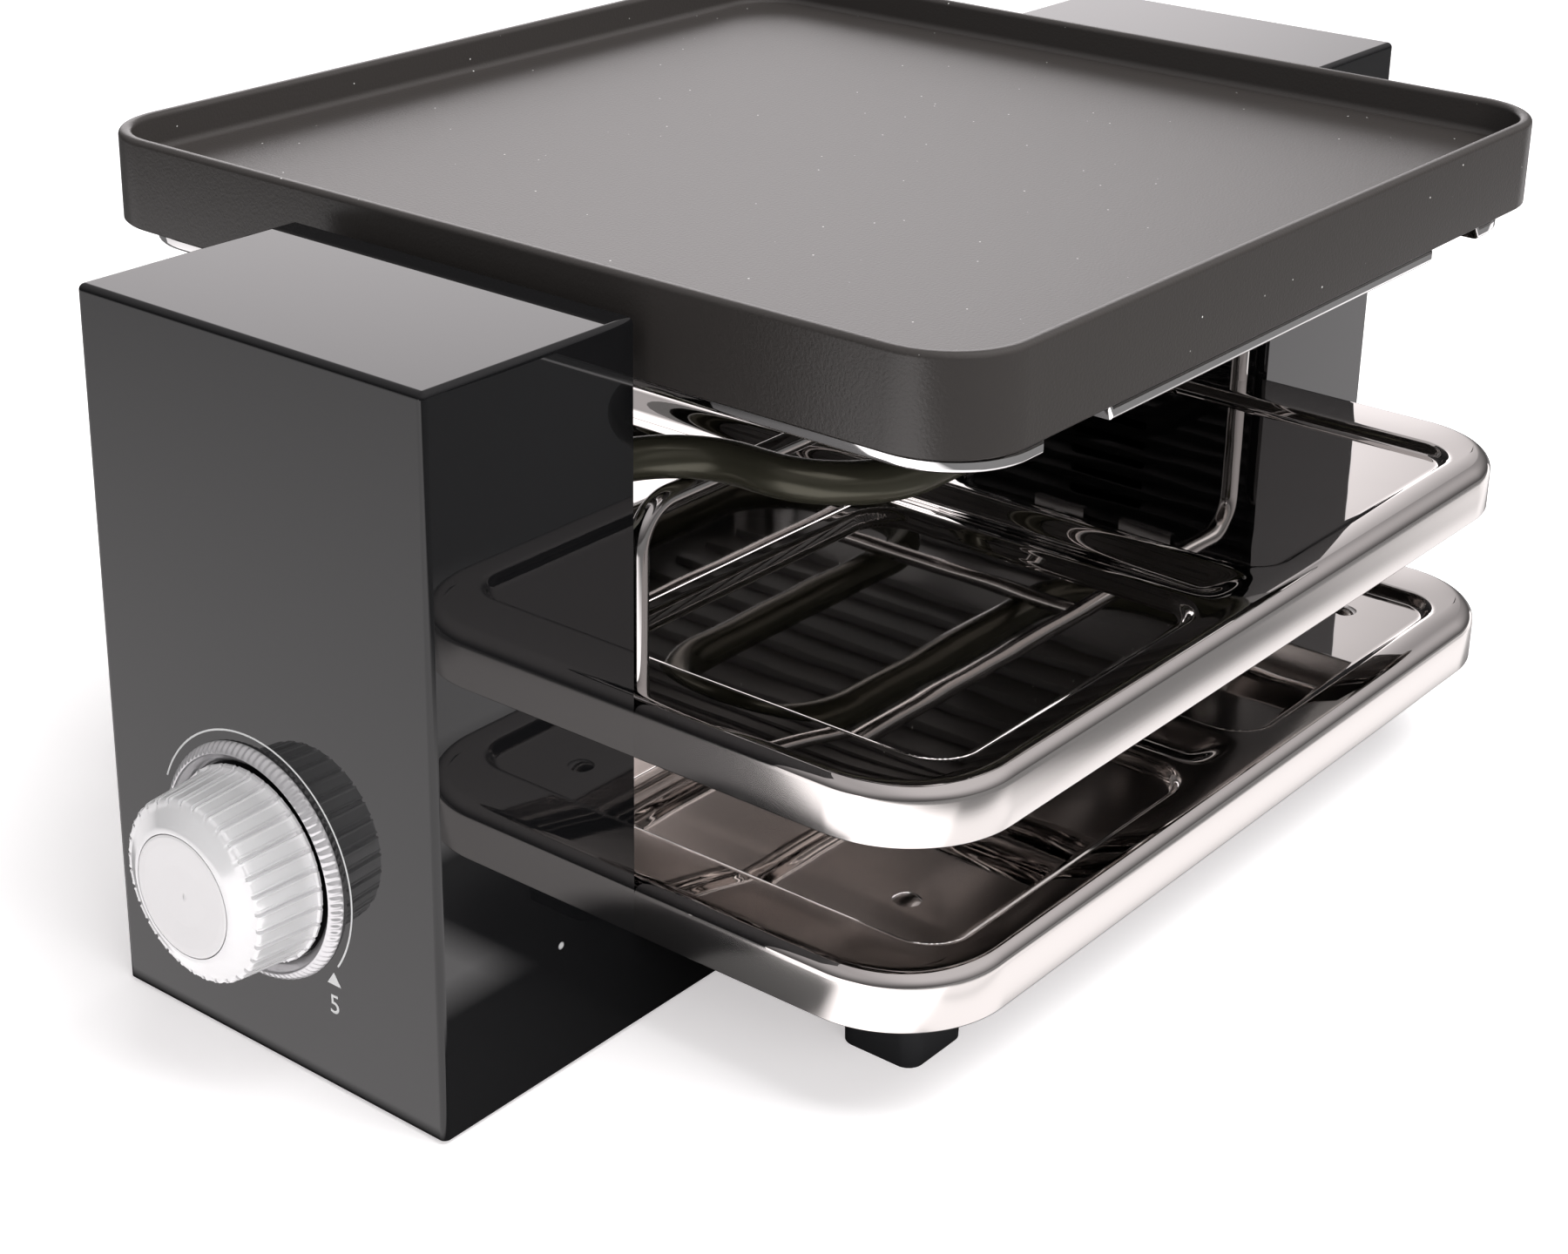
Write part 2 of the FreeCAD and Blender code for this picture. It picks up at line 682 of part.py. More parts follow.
def element_sleeves():
    """Ceramic sleeves that carry the tube's ends in the inner panel."""
    sleeves = []
    for side in (-1, 1):
        start = V(-inner_x + sleeve_lip, side * tube_entry_y, tube_z)
        sleeve = rod(start, V(-panel_back - sleeve_length, side * tube_entry_y, tube_z), sleeve_radius)
        sleeve = sleeve.fuse(rod(start, V(-inner_x, side * tube_entry_y, tube_z), sleeve_flange))
        bore = rod(start + V(sleeve_lip, 0, 0), V(-panel_back - sleeve_length - 1, side * tube_entry_y, tube_z), tube_radius)
        sleeves.append(sleeve.cut(bore))
    return Part.makeCompound(sleeves)


def element_rack():
    """Wire rack under the element: two bent wires that stand on the upper tray, and a cross wire."""
    wires = []
    for side in (-1, 1):
        y = side * rack_y
        route = [V(-rack_leg_x, y, upper_tray_top), V(-rack_leg_x, y, rack_z), V(rack_leg_x, y, rack_z),
                 V(rack_leg_x, y, upper_tray_top)]
        wires.append(tube(route, rack_bend, rack_radius))
    weld_y = rack_y - rack_radius * 0.4
    wires.append(rod(V(rack_cross_x, -weld_y, rack_z), V(rack_cross_x, weld_y, rack_z), rack_cross_radius))
    return fuse(wires)


# Knob, bezel and thermostat on the outer face of the left housing

knob_axis = V(-half_length, knob_y, knob_z)
knob_open = knob_gap
knob_rim = knob_gap + knob_length
knob_face = knob_rim + knob_cone


def out(distance):
    """Point on the knob's axis, this far out of the housing's face."""
    return knob_axis - V(distance, 0, 0)


def revolve(profile):
    """Solid of revolution about the knob's axis; profile is (distance out, radius)."""
    points = [out(d) + V(0, 0, r) for d, r in profile]
    face = Part.Face(Part.makePolygon(points + [points[0]]))
    return face.revolve(out(0), X_AXIS, 360)


def knob_bezel():
    """Knurled trim ring around the knob."""
    ring = revolve([(0, bezel_inner), (0, bezel_outer), (bezel_flat, bezel_outer),
                    (bezel_height, bezel_outer - bezel_slope),
                    (bezel_height, bezel_inner + bezel_inner_slope), (bezel_height - bezel_inner_slope, bezel_inner)])
    groove_radius = math.pi * bezel_outer / bezel_teeth * 0.28
    grooves = []
    for i in range(bezel_teeth):
        angle = 2 * math.pi * i / bezel_teeth
        spoke = V(0, math.cos(angle), math.sin(angle))
        low = out(bezel_flat) + spoke * (bezel_outer + groove_radius * 0.5)
        high = out(bezel_height * 1.15) + spoke * (bezel_outer - bezel_slope * 1.25 + groove_radius * 0.5)
        across = spoke.cross(X_AXIS) * groove_radius
        inward = spoke * (-groove_radius * 0.9)
        lower = [low - across, low + across, low + inward]
        upper = [high - across, high + across, high + inward]
        wires = [Part.makePolygon(lower + [lower[0]]), Part.makePolygon(upper + [upper[0]])]
        grooves.append(Part.makeLoft(wires, True, True))
    return ring.cut(Part.makeCompound(grooves))


def knob():
    """Fluted knob: tapered skirt, coned rim, hub with a D bore and stiffening webs."""
    body = revolve([(knob_open, 0), (knob_open, knob_base_radius), (knob_rim, knob_rim_radius),
                    (knob_face, knob_face_radius), (knob_face, 0)])
    body = body.cut(revolve([(knob_face - cap_thickness, 0), (knob_face - cap_thickness, knob_face_radius - 0.6),
                             (knob_face + 1, knob_face_radius - 0.6), (knob_face + 1, 0)]))
    inside = knob_rim - knob_wall
    body = body.cut(revolve([(0, 0), (0, knob_base_radius - knob_wall), (inside, knob_rim_radius - knob_wall),
                             (inside, 0)]))
    hub_start = bush_reach + 0.6
    parts = [rod(out(hub_start), out(knob_rim - knob_wall / 2), hub_radius)]
    for i in range(4):
        angle = math.pi / 4 + math.pi / 2 * i
        spoke = V(0, math.cos(angle), math.sin(angle))
        side = spoke.cross(X_AXIS) * 0.7
        near = out(hub_start + 1.5) + spoke * (hub_radius - 1)
        far = out(hub_start + 1.5) + spoke * (knob_rim_radius - knob_wall + 0.4)
        web = polygon([near - side, near + side, far + side, far - side], V(-(inside - hub_start - 1), 0, 0))
        parts.append(web)
    body = fuse([body] + parts)
    body = body.cut(d_section(hub_start - 1, shaft_end))
    flutes = []
    for i in range(knob_flutes):
        angle = 2 * math.pi * i / knob_flutes
        spoke = V(0, math.cos(angle), math.sin(angle))
        start = out(knob_open - 0.5) + spoke * (knob_base_radius + flute_radius * 0.35)
        slope = (knob_base_radius - knob_rim_radius) / knob_length
        end = out(knob_rim + 1.5) + spoke * (knob_base_radius + flute_radius * 0.35 - slope * (knob_length + 2))
        heading = end - start
        flutes.append(Part.makeCylinder(flute_radius, heading.Length, start, heading))
    return body.cut(Part.makeCompound(flutes))


def d_section(start, end):
    """Shaft section with one flat, between two distances out of the housing's face."""
    full = rod(out(start), out(end), shaft_radius)
    cut = box(-half_length - end - 1, -half_length - start + 1, knob_y - shaft_radius - 1,
              knob_y + shaft_radius + 1, knob_z + shaft_flat, knob_z + shaft_radius + 1)
    return full.cut(cut)


def knob_cap():
    """Turned disc in the knob's face, dished towards its middle."""
    radius = knob_face_radius - 0.6
    low = knob_face - cap_thickness
    top = knob_face + cap_rise
    return revolve([(low, 0), (low, radius), (knob_face, radius), (top, radius - 0.4), (top, radius * 0.86),
                    (top - cap_dish * 0.8, radius * 0.5), (top - cap_dish, 0)])


bush_reach = nut_height + 1.2
shaft_end = bush_reach + 0.6 + shaft_engagement


def thermostat_shaft():
    plain = rod(out(-stat_inside), out(bush_reach + 0.6), shaft_radius)
    return plain.fuse(d_section(bush_reach + 0.6, shaft_end)).removeSplitter()


stat_inside = housing_wall + flange_thickness + spindle_reach


def thermostat_bush():
    """Threaded bush through the housing wall, with its inner flange."""
    flange_start = -housing_wall - flange_thickness
    bush = rod(out(flange_start - bush_tail), out(bush_reach), bush_radius)
    half = stat_width / 2
    x0 = -half_length + housing_wall
    flange = box(x0, x0 + flange_thickness, knob_y - half, knob_y + half, knob_z - half * 0.7, knob_z + half * 0.7)
    shape = bush.fuse(flange)
    return shape.cut(rod(out(-stat_inside - 5), out(bush_reach + 1), shaft_radius + shaft_clearance))


def thermostat_nut():
    return hex_nut(out(nut_height), X_AXIS, nut_flats, nut_height, bush_radius)


def thermostat_body():
    """Ceramic block behind the flange, with a pocket for the spindle's end."""
    x0 = -half_length + housing_wall + flange_thickness
    half = stat_width / 2
    block = box(x0, x0 + stat_depth, knob_y - half + 2, knob_y + half - 2,
                knob_z - stat_height / 2, knob_z + stat_height / 2)
    pocket = rod(out(1), out(-stat_inside - 1.5), bush_radius + 0.4)
    block = block.cut(pocket)
    return block


def thermostat_blades():
    """Bimetal arm and contact blade on the back of the ceramic block."""
    back = -half_length + housing_wall + flange_thickness + stat_depth
    blades = []
    for side, top in ((-1, short_blade_top), (1, long_blade_top)):
        y = knob_y + side * blade_spacing / 2
        low = knob_z - stat_height / 2 + blade_rise
        blades.append(box(back, back + blade_thickness, y - blade_width / 2, y + blade_width / 2, low, top))
    return Part.makeCompound(blades)


# Wiring inside the left housing

block_y = -16.0
pole_x = -panel_back - 0.58 * block_depth
pole_half = block_half - 1
pole_radius = lead_radius + 0.7
block_z = knob_z + block_rise
tab_y0 = half_depth - inlet_depth          # rear of the inlet's tabs
wire_y = tab_y0 - tab_reach + 2.5
tab_x = [-pad_x + pin_pitch * i for i in (-1, 0, 1)]
blade_back = -half_length + housing_wall + flange_thickness + stat_depth
blade_x = blade_back + blade_thickness / 2
short_blade_top = knob_z + stat_height / 2 + blade_rise
long_blade_top = short_blade_top + blade_step
pin_x = -panel_back - tube_tail - pin_length + pin_hold
fuse_low = inlet_z + inlet_half_z + fuse_rise


def terminal_block():
    """Two-pole ceramic block on the back of the inner panel."""
    body = box(-panel_back - block_depth, -panel_back, block_y - 2 * block_pole, block_y + 2 * block_pole,
               block_z - block_half, block_z + block_half)
    for side in (-1, 1):
        centre = V(pole_x, block_y + side * block_pole, block_z)
        reach = V(0, 0, block_half + 1)
        body = body.cut(rod(centre - reach, centre + reach, pole_radius))
    return body


def terminal_tubes():
    tubes = []
    for side in (-1, 1):
        centre = V(pole_x, block_y + side * block_pole, block_z)
        low = centre - V(0, 0, pole_half)
        high = centre + V(0, 0, pole_half)
        tubes.append(rod(low, high, pole_radius).cut(rod(low, high, lead_radius)))
    return Part.makeCompound(tubes)


def lead(points):
    return tube(points, lead_bend, lead_radius)


def live_lead():
    """From the inlet to the thermostat's long blade."""
    over = long_blade_top + lead_sling
    y = knob_y + blade_spacing / 2
    return lead([V(tab_x[0], wire_y, inlet_z + 0.4), V(tab_x[0], wire_y, over),
                 V(blade_x, y, over), V(blade_x, y, long_blade_top)])


def load_lead():
    """From the thermostat's short blade to the terminal block."""
    y = knob_y - blade_spacing / 2
    pole = V(pole_x, block_y + block_pole, block_z - pole_half)
    over = short_blade_top + lead_sling * 0.5
    return lead([V(blade_x, y, short_blade_top), V(blade_x, y, over), V(pole.x, pole.y, over - 1), pole])


def front_lead():
    """From the terminal block to the front pin of the element."""
    pole = V(pole_x, block_y - block_pole, block_z + pole_half)
    over = pole + V(0, 0, lead_sling)
    top = tube_z - pin_radius
    return lead([pole, over, V(pin_x, -tube_entry_y, over.z + 2), V(pin_x, -tube_entry_y, top)])


def neutral_lead():
    """From the inlet through the thermal fuse to the rear pin of the element."""
    over = tube_z - 1.75 * lead_sling
    return lead([V(tab_x[2], wire_y, inlet_z + 0.4), V(tab_x[2], wire_y, over),
                 V(pin_x, tube_entry_y, over), V(pin_x, tube_entry_y, tube_z - pin_radius)])


def thermal_fuse():
    """Fuse in its glass-fibre sleeve, slid over the neutral lead."""
    low = V(tab_x[2], wire_y, fuse_low)
    high = low + V(0, 0, fuse_length)
    return rod(low, high, fuse_radius).cut(rod(low, high, lead_radius))


earth_tag_thickness = 0.8
earth_ring_radius = 4.4
earth_tail = 12.0


def earth_tag():
    """Ring tag under the rear tab nut, behind the inner panel."""
    back = -panel_back - earth_tag_thickness
    centre = V(back, tab_y, tab_screw_z)
    ring = rod(centre, centre + V(earth_tag_thickness, 0, 0), earth_ring_radius)
    tail = box(back, -panel_back, tab_y - earth_tail, tab_y, tab_screw_z - 2, tab_screw_z + 2)
    return ring.fuse(tail).removeSplitter().cut(rod(centre - V(1, 0, 0), centre + V(2, 0, 0), bolt_radius + fit))


def earth_lead():
    x = -panel_back - earth_tag_thickness - lead_radius
    y = tab_y - 0.75 * earth_tail
    over = tab_screw_z - 2 * lead_sling
    return lead([V(tab_x[1], wire_y, inlet_z + 0.4), V(tab_x[1], wire_y, over), V(x, y, over),
                 V(x, y, tab_screw_z + 2)])


def mains_inlet():
    """Moulded socket for a detachable mains lead, snapped into the rear wall."""
    front = half_depth + inlet_lip
    x = -pad_x
    body = box(x - inlet_half_x, x + inlet_half_x, tab_y0, front, inlet_z - inlet_half_z, inlet_z + inlet_half_z)
    body = body.makeFillet(2.5, [e for e in body.Edges if e.BoundBox.YLength > inlet_depth - 1])
    lip = box(x - inlet_half_x - 1.6, x + inlet_half_x + 1.6, half_depth, front,
              inlet_z - inlet_half_z - 1.6, inlet_z + inlet_half_z + 1.6)
    lip = lip.makeFillet(0.6, [e for e in lip.Edges if e.BoundBox.YMin > front - 0.01])
    well = box(x - inlet_half_x + 2, x + inlet_half_x - 2, tab_y0 + 4, front + 1,
               inlet_z - inlet_half_z + 2, inlet_z + inlet_half_z - 2)
    well = well.makeFillet(3.0, [e for e in well.Edges if e.BoundBox.YLength > inlet_depth - 5])
    body = body.fuse(lip).removeSplitter().cut(well)
    for px in tab_x:
        body = body.cut(box(px - 2, px + 2, tab_y0 - 1, tab_y0 + 6, inlet_z - 0.4, inlet_z + 0.4))
    return body


def inlet_pins():
    """Flat pins in the socket, each with its tab behind."""
    pins = []
    for px in tab_x:
        pins.append(box(px - 2, px + 2, tab_y0 - tab_reach, half_depth - 3, inlet_z - 0.4, inlet_z + 0.4))
    return Part.makeCompound(pins)


# Fasteners

def self_tapper(tip, head_side, length):
    return screw(tip, head_side, length, pilot_radius, screw_head_radius, screw_head_height)


def panel_screws(sign):
    """Screws through the inner panel into the shell's long bosses; heads face the trays."""
    group = []
    for side in (-1, 1):
        for z in (boss_low_z, boss_high_z):
            tip = V(sign * (panel_back + screw_grip), side * boss_y, z)
            group.append(self_tapper(tip, V(-sign, 0, 0), screw_grip + panel_thickness))
    return Part.makeCompound(group)


def cover_screws(sign):
    """Countersunk screws, flush with the bottom cover."""
    group = []
    for side in (-1, 1):
        head = V(sign * cover_boss_x, side * cover_boss_y, floor_gap)
        cone = Part.makeCone(screw_head_radius, pilot_radius, cover_thickness, head, Z_AXIS)
        shank = rod(head + V(0, 0, cover_thickness), head + V(0, 0, cover_thickness + cover_screw_grip), pilot_radius)
        drive = rod(head, head + V(0, 0, 0.8), screw_head_radius * 0.34)
        group.append(cone.fuse(shank).cut(drive).removeSplitter())
    return Part.makeCompound(group)


def base_screws(sign):
    """Screws from inside the housing, through the inner panel, into the base."""
    group = []
    for side in (-1, 1):
        tip = V(sign * (inner_x - screw_grip), side * base_screw_y, base_screw_z)
        group.append(self_tapper(tip, V(sign, 0, 0), screw_grip + panel_thickness))
    return Part.makeCompound(group)


def tray_bolts(top):
    """Bolts from inside the housings through panel and skirt, with their nuts under the tray."""
    group = []
    length = panel_thickness + tray_sheet + bolt_tail
    for sign in (-1, 1):
        for side in (-1, 1):
            seat = V(sign * panel_back, side * tray_bolt_y, top - tray_bolt_drop)
            tip = seat - V(sign * length, 0, 0)
            group.append(screw(tip, V(sign, 0, 0), length, bolt_radius, bolt_head_radius, screw_head_height))
            inside = V(sign * (inner_x - tray_sheet), seat.y, seat.z)
            group.append(hex_nut(inside, V(-sign, 0, 0), nut_across, bolt_nut_height, bolt_radius))
    return Part.makeCompound(group)


def tab_bolts():
    group = []
    length = panel_thickness + frame_sheet + bolt_tail
    for sign in (-1, 1):
        for side in (-1, 1):
            seat = V(sign * (inner_x - frame_sheet), side * tab_y, tab_screw_z)
            tip = seat + V(sign * length, 0, 0)
            group.append(screw(tip, V(-sign, 0, 0), length, bolt_radius, bolt_head_radius, screw_head_height))
            tagged = sign < 0 < side
            behind = V(sign * (panel_back + (earth_tag_thickness if tagged else 0)), seat.y, seat.z)
            group.append(hex_nut(behind, V(sign, 0, 0), nut_across, bolt_nut_height, bolt_radius))
    return Part.makeCompound(group)


def write(name, shape):
    shape = shape.translated(V(centre_shift, 0, 0))
    shape.exportStep("parts/" + name + ".step")
    bound = shape.BoundBox
    print("%-24s solids %2d valid %s volume %9.1f  z %6.1f..%6.1f" % (
        name, len(shape.Solids), shape.isValid(), shape.Volume, bound.ZMin, bound.ZMax))


centre_shift = (knob_face + cap_rise) / 2

os.makedirs("parts", exist_ok=True)

write("left_housing", left_housing())
write("right_housing", housing_shell())
write("left_inner_panel", left_inner_panel())
write("right_inner_panel", inner_panel())
write("left_bottom_cover", mirrored(bottom_cover()))
write("right_bottom_cover", bottom_cover())
write("left_rubber_pads", rubber_pads(-1))
write("right_rubber_pads", rubber_pads(1))
write("base", base())
write("upper_tray", tray(upper_tray_top))
write("lower_tray", lower_tray())
for foot_name, foot_sx, foot_sy in (("front_left", -1, -1), ("front_right", 1, -1),
                                    ("rear_left", -1, 1), ("rear_right", 1, 1)):
    write("foot_" + foot_name, corner_foot(foot_sx, foot_sy))
write("foot_rivets", foot_rivets())
write("grill_plate", grill_plate())
write("reflector_frame", reflector_frame())
write("heating_element", heating_element())
write("element_pins", element_pins())
write("element_sleeves", element_sleeves())
write("element_rack", element_rack())
write("knob_bezel", knob_bezel())
write("knob", knob())
write("knob_cap", knob_cap())
write("thermostat_shaft", thermostat_shaft())
write("thermostat_bush", thermostat_bush())
write("thermostat_nut", thermostat_nut())
write("thermostat_body", thermostat_body())
write("thermostat_blades", thermostat_blades())
write("terminal_block", terminal_block())
write("terminal_tubes", terminal_tubes())
write("live_lead", live_lead())
write("load_lead", load_lead())
write("front_lead", front_lead())
write("neutral_lead", neutral_lead())
write("thermal_fuse", thermal_fuse())
write("earth_lead", earth_lead())
write("earth_tag", earth_tag())
write("mains_inlet", mains_inlet())
write("inlet_pins", inlet_pins())
write("left_panel_screws", panel_screws(-1))
write("right_panel_screws", panel_screws(1))
write("left_cover_screws", cover_screws(-1))
write("right_cover_screws", cover_screws(1))
write("left_base_screws", base_screws(-1))
write("right_base_screws", base_screws(1))
write("upper_tray_bolts", tray_bolts(upper_tray_top))
write("lower_tray_bolts", tray_bolts(lower_tray_top))
write("tab_bolts", tab_bolts())
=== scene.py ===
import bpy
import json
import math
import numpy as np
from mathutils import Matrix, Vector

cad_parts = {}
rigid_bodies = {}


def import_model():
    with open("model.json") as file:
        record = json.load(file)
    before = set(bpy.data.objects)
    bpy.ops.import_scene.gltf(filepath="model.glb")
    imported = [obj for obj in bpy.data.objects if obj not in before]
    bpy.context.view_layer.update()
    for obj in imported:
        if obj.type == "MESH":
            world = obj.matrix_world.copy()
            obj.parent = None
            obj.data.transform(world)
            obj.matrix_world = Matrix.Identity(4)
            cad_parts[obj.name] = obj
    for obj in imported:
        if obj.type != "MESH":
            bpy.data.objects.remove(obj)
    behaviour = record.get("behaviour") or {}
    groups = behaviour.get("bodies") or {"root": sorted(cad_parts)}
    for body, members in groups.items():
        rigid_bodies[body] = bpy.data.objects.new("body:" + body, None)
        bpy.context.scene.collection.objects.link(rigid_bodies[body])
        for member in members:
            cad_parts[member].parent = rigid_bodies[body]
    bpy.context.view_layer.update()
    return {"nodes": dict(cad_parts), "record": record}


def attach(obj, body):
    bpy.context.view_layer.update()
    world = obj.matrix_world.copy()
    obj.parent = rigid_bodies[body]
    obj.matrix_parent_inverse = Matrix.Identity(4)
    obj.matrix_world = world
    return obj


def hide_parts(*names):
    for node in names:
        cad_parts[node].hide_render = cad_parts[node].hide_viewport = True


for leftover in list(bpy.data.objects):
    bpy.data.objects.remove(leftover)

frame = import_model()
scene = bpy.context.scene
middleX = 8.0  # the trays' middle lies 8 mm right of the frame's origin
print("frame loaded")


# A surface is rows x columns of points in mm about the trays' middle.

def gridQuads(rows, cols, closed=True, flip=False):
    # quads between neighbours of a grid; closed joins the last column to the first
    i, j = np.meshgrid(np.arange(rows - 1), np.arange(cols if closed else cols - 1), indexing="ij")
    k = (j + 1) % cols
    quads = np.stack([i * cols + j, i * cols + k, (i + 1) * cols + k, (i + 1) * cols + j], -1).reshape(-1, 4)
    return quads[:, ::-1] if flip else quads


def bandQuads(inner, outer):
    # quads between two closed rows of vertex numbers, facing up when outer lies outside
    return np.stack([inner, outer, np.roll(outer, -1), np.roll(inner, -1)], -1)


class Shape:
    # gathers surfaces into one mesh

    def __init__(self):
        self.points, self.faces, self.count = [], [], 0

    def add(self, points, *faces):
        # faces count from 0 within points; gives back the number of their first vertex
        points = np.asarray(points, float).reshape(-1, 3)
        for group in faces:
            self.faces += (np.asarray(group) + self.count).tolist()
        self.points.append(points)
        self.count += len(points)
        return self.count - len(points)

    def surface(self, points, closed=True, flip=False, caps=False):
        # a grid of points; caps closes its first and last rows with flat faces
        rows, cols = points.shape[:2]
        faces = [gridQuads(rows, cols, closed, flip)]
        if caps:
            ends = np.stack([np.arange(cols)[::-1], np.arange((rows - 1) * cols, rows * cols)])
            faces.append(ends[:, ::-1] if flip else ends)
        return self.add(points, *faces)

    def make(self, name, sharp=35.0):
        # mm about the trays' middle to metres about the frame's origin; edges over sharp degrees stay crisp
        mesh = bpy.data.meshes.new(name)
        metres = (np.vstack(self.points) + (middleX, 0, 0)) / 1000
        mesh.from_pydata(metres.tolist(), [], self.faces)
        mesh.polygons.foreach_set("use_smooth", np.ones(len(mesh.polygons), dtype=bool))
        mesh.set_sharp_from_angle(angle=math.radians(sharp))
        obj = bpy.data.objects.new(name, mesh)
        scene.collection.objects.link(obj)
        return obj


def roundedOutline(halfX, halfY, corner, cornerSteps=14, sideX=()):
    # points and outward normals round a rounded rectangle, counterclockwise from above;
    # sideX adds points at these x to its front and rear sides
    quarter = np.linspace(0, np.pi / 2, cornerSteps + 1)
    alongX, bare = np.asarray(sideX, float), np.zeros((0, 2))
    sides = [bare, np.column_stack([alongX[::-1], np.full(len(alongX), halfY)]),
             bare, np.column_stack([alongX, np.full(len(alongX), -halfY)])]
    points, normals = [], []
    for turn, (cx, cy) in enumerate(((1, -1), (1, 1), (-1, 1), (-1, -1))):
        angle = quarter + (turn - 1) * np.pi / 2
        arc = np.column_stack([np.cos(angle), np.sin(angle)])
        points += [arc * corner + (cx * (halfX - corner), cy * (halfY - corner)), sides[turn]]
        facing = (math.cos(turn * math.pi / 2), math.sin(turn * math.pi / 2))
        normals += [arc, np.tile(facing, (len(sides[turn]), 1))]
    return np.vstack(points), np.vstack(normals)


def sweepProfile(outline, profile):
    # each profile row (inset, height) carried round the outline along its normals
    points, normals = outline
    inset, height = np.asarray(profile, float).T
    flat = points[None] - inset[:, None, None] * normals[None]
    return np.concatenate([flat, np.broadcast_to(height[:, None, None], flat.shape[:2] + (1,))], -1)


def arcRows(inset, height, radius, start, end, steps):
    # profile rows on a circle arc; angles in degrees, 0 outwards and 90 up
    a = np.radians(np.linspace(start, end, steps))
    return np.column_stack([inset - radius * np.cos(a), height + radius * np.sin(a)]).tolist()


def bentRoute(corners, bend, steps=14):
    # points and directions along straight runs that are joined by arcs
    corners = [np.array(c, float) for c in corners]
    unit = [(b - a) / np.linalg.norm(b - a) for a, b in zip(corners, corners[1:])]
    points, directions = [corners[:1]], [unit[:1]]
    for corner, u, w in zip(corners[1:], unit, unit[1:]):
        turn = math.acos(np.clip(u @ w, -1, 1))
        side = (w - u * (u @ w)) / np.linalg.norm(w - u * (u @ w))
        t = np.linspace(0, turn, steps + 1)[:, None]
        centre = corner - u * bend * math.tan(turn / 2) + side * bend
        points.append(centre - side * bend * np.cos(t) + u * bend * np.sin(t))
        directions.append(u * np.cos(t) + side * np.sin(t))
    return np.vstack(points + [corners[-1:]]), np.vstack(directions + [unit[-1:]])


def tubeSurface(route, radius, across, sides=28):
    # circles about a flat route; across is the direction square to its plane
    points, directions = route
    across = np.array(across, float)
    other = np.cross(directions, across)
    a = np.linspace(0, 2 * np.pi, sides, endpoint=False)[None, :, None]
    return points[:, None] + radius * (np.cos(a) * across + np.sin(a) * other[:, None])


def boxFaces(low, high):
    # eight corners, x counted fastest and z slowest, and six faces that look outwards
    x, y, z = ([a, b] for a, b in zip(low, high))
    points = [(x[i & 1], y[i >> 1 & 1], z[i >> 2]) for i in range(8)]
    return points, [[0, 2, 3, 1], [4, 5, 7, 6], [0, 1, 5, 4], [1, 3, 7, 5], [3, 2, 6, 7], [2, 0, 4, 6]]


def ease(t):
    # smooth step with level ends
    t = np.clip(t, 0, 1)
    return t * t * t * (t * (6 * t - 15) + 10)


# Materials: procedural, on Object coordinates.

def newMaterial(name, colour, rough, metallic=0.0, ior=1.45):
    # constants directly on the shader's sockets
    mat = bpy.data.materials.new(name)
    mat.use_nodes = True
    shader = mat.node_tree.nodes["Principled BSDF"]
    shader.inputs["Base Color"].default_value = (*colour, 1)
    shader.inputs["Roughness"].default_value = rough
    shader.inputs["Metallic"].default_value = metallic
    shader.inputs["IOR"].default_value = ior
    return mat


def place(mat):
    # the material's Object coordinates
    found = mat.node_tree.nodes.get("Texture Coordinate") or mat.node_tree.nodes.new("ShaderNodeTexCoord")
    return found.outputs["Object"]


def noiseOf(mat, scale, detail=2.0, stretch=None):
    # noise over the place, after it is multiplied by stretch
    tree = mat.node_tree
    noise = tree.nodes.new("ShaderNodeTexNoise")
    noise.inputs["Scale"].default_value = scale
    noise.inputs["Detail"].default_value = detail
    source = place(mat)
    if stretch:
        mapping = tree.nodes.new("ShaderNodeMapping")
        mapping.inputs["Scale"].default_value = stretch
        tree.links.new(source, mapping.inputs["Vector"])
        source = mapping.outputs["Vector"]
    tree.links.new(source, noise.inputs["Vector"])
    return noise.outputs["Fac"]


def ranged(mat, value, low, high, toLow, toHigh):
    # low to high of value becomes toLow to toHigh, clamped
    tree = mat.node_tree
    node = tree.nodes.new("ShaderNodeMapRange")
    for name, number in (("From Min", low), ("From Max", high), ("To Min", toLow), ("To Max", toHigh)):
        node.inputs[name].default_value = number
    tree.links.new(value, node.inputs["Value"])
    return node.outputs["Result"]


def bumped(mat, height, strength, distance, under=None):
    # tilts the shader's normal by the height, on top of the bump under it
    tree = mat.node_tree
    bump = tree.nodes.new("ShaderNodeBump")
    bump.inputs["Strength"].default_value = strength
    bump.inputs["Distance"].default_value = distance
    tree.links.new(height, bump.inputs["Height"])
    if under:
        tree.links.new(under.outputs["Normal"], bump.inputs["Normal"])
    tree.links.new(bump.outputs["Normal"], tree.nodes["Principled BSDF"].inputs["Normal"])
    return bump


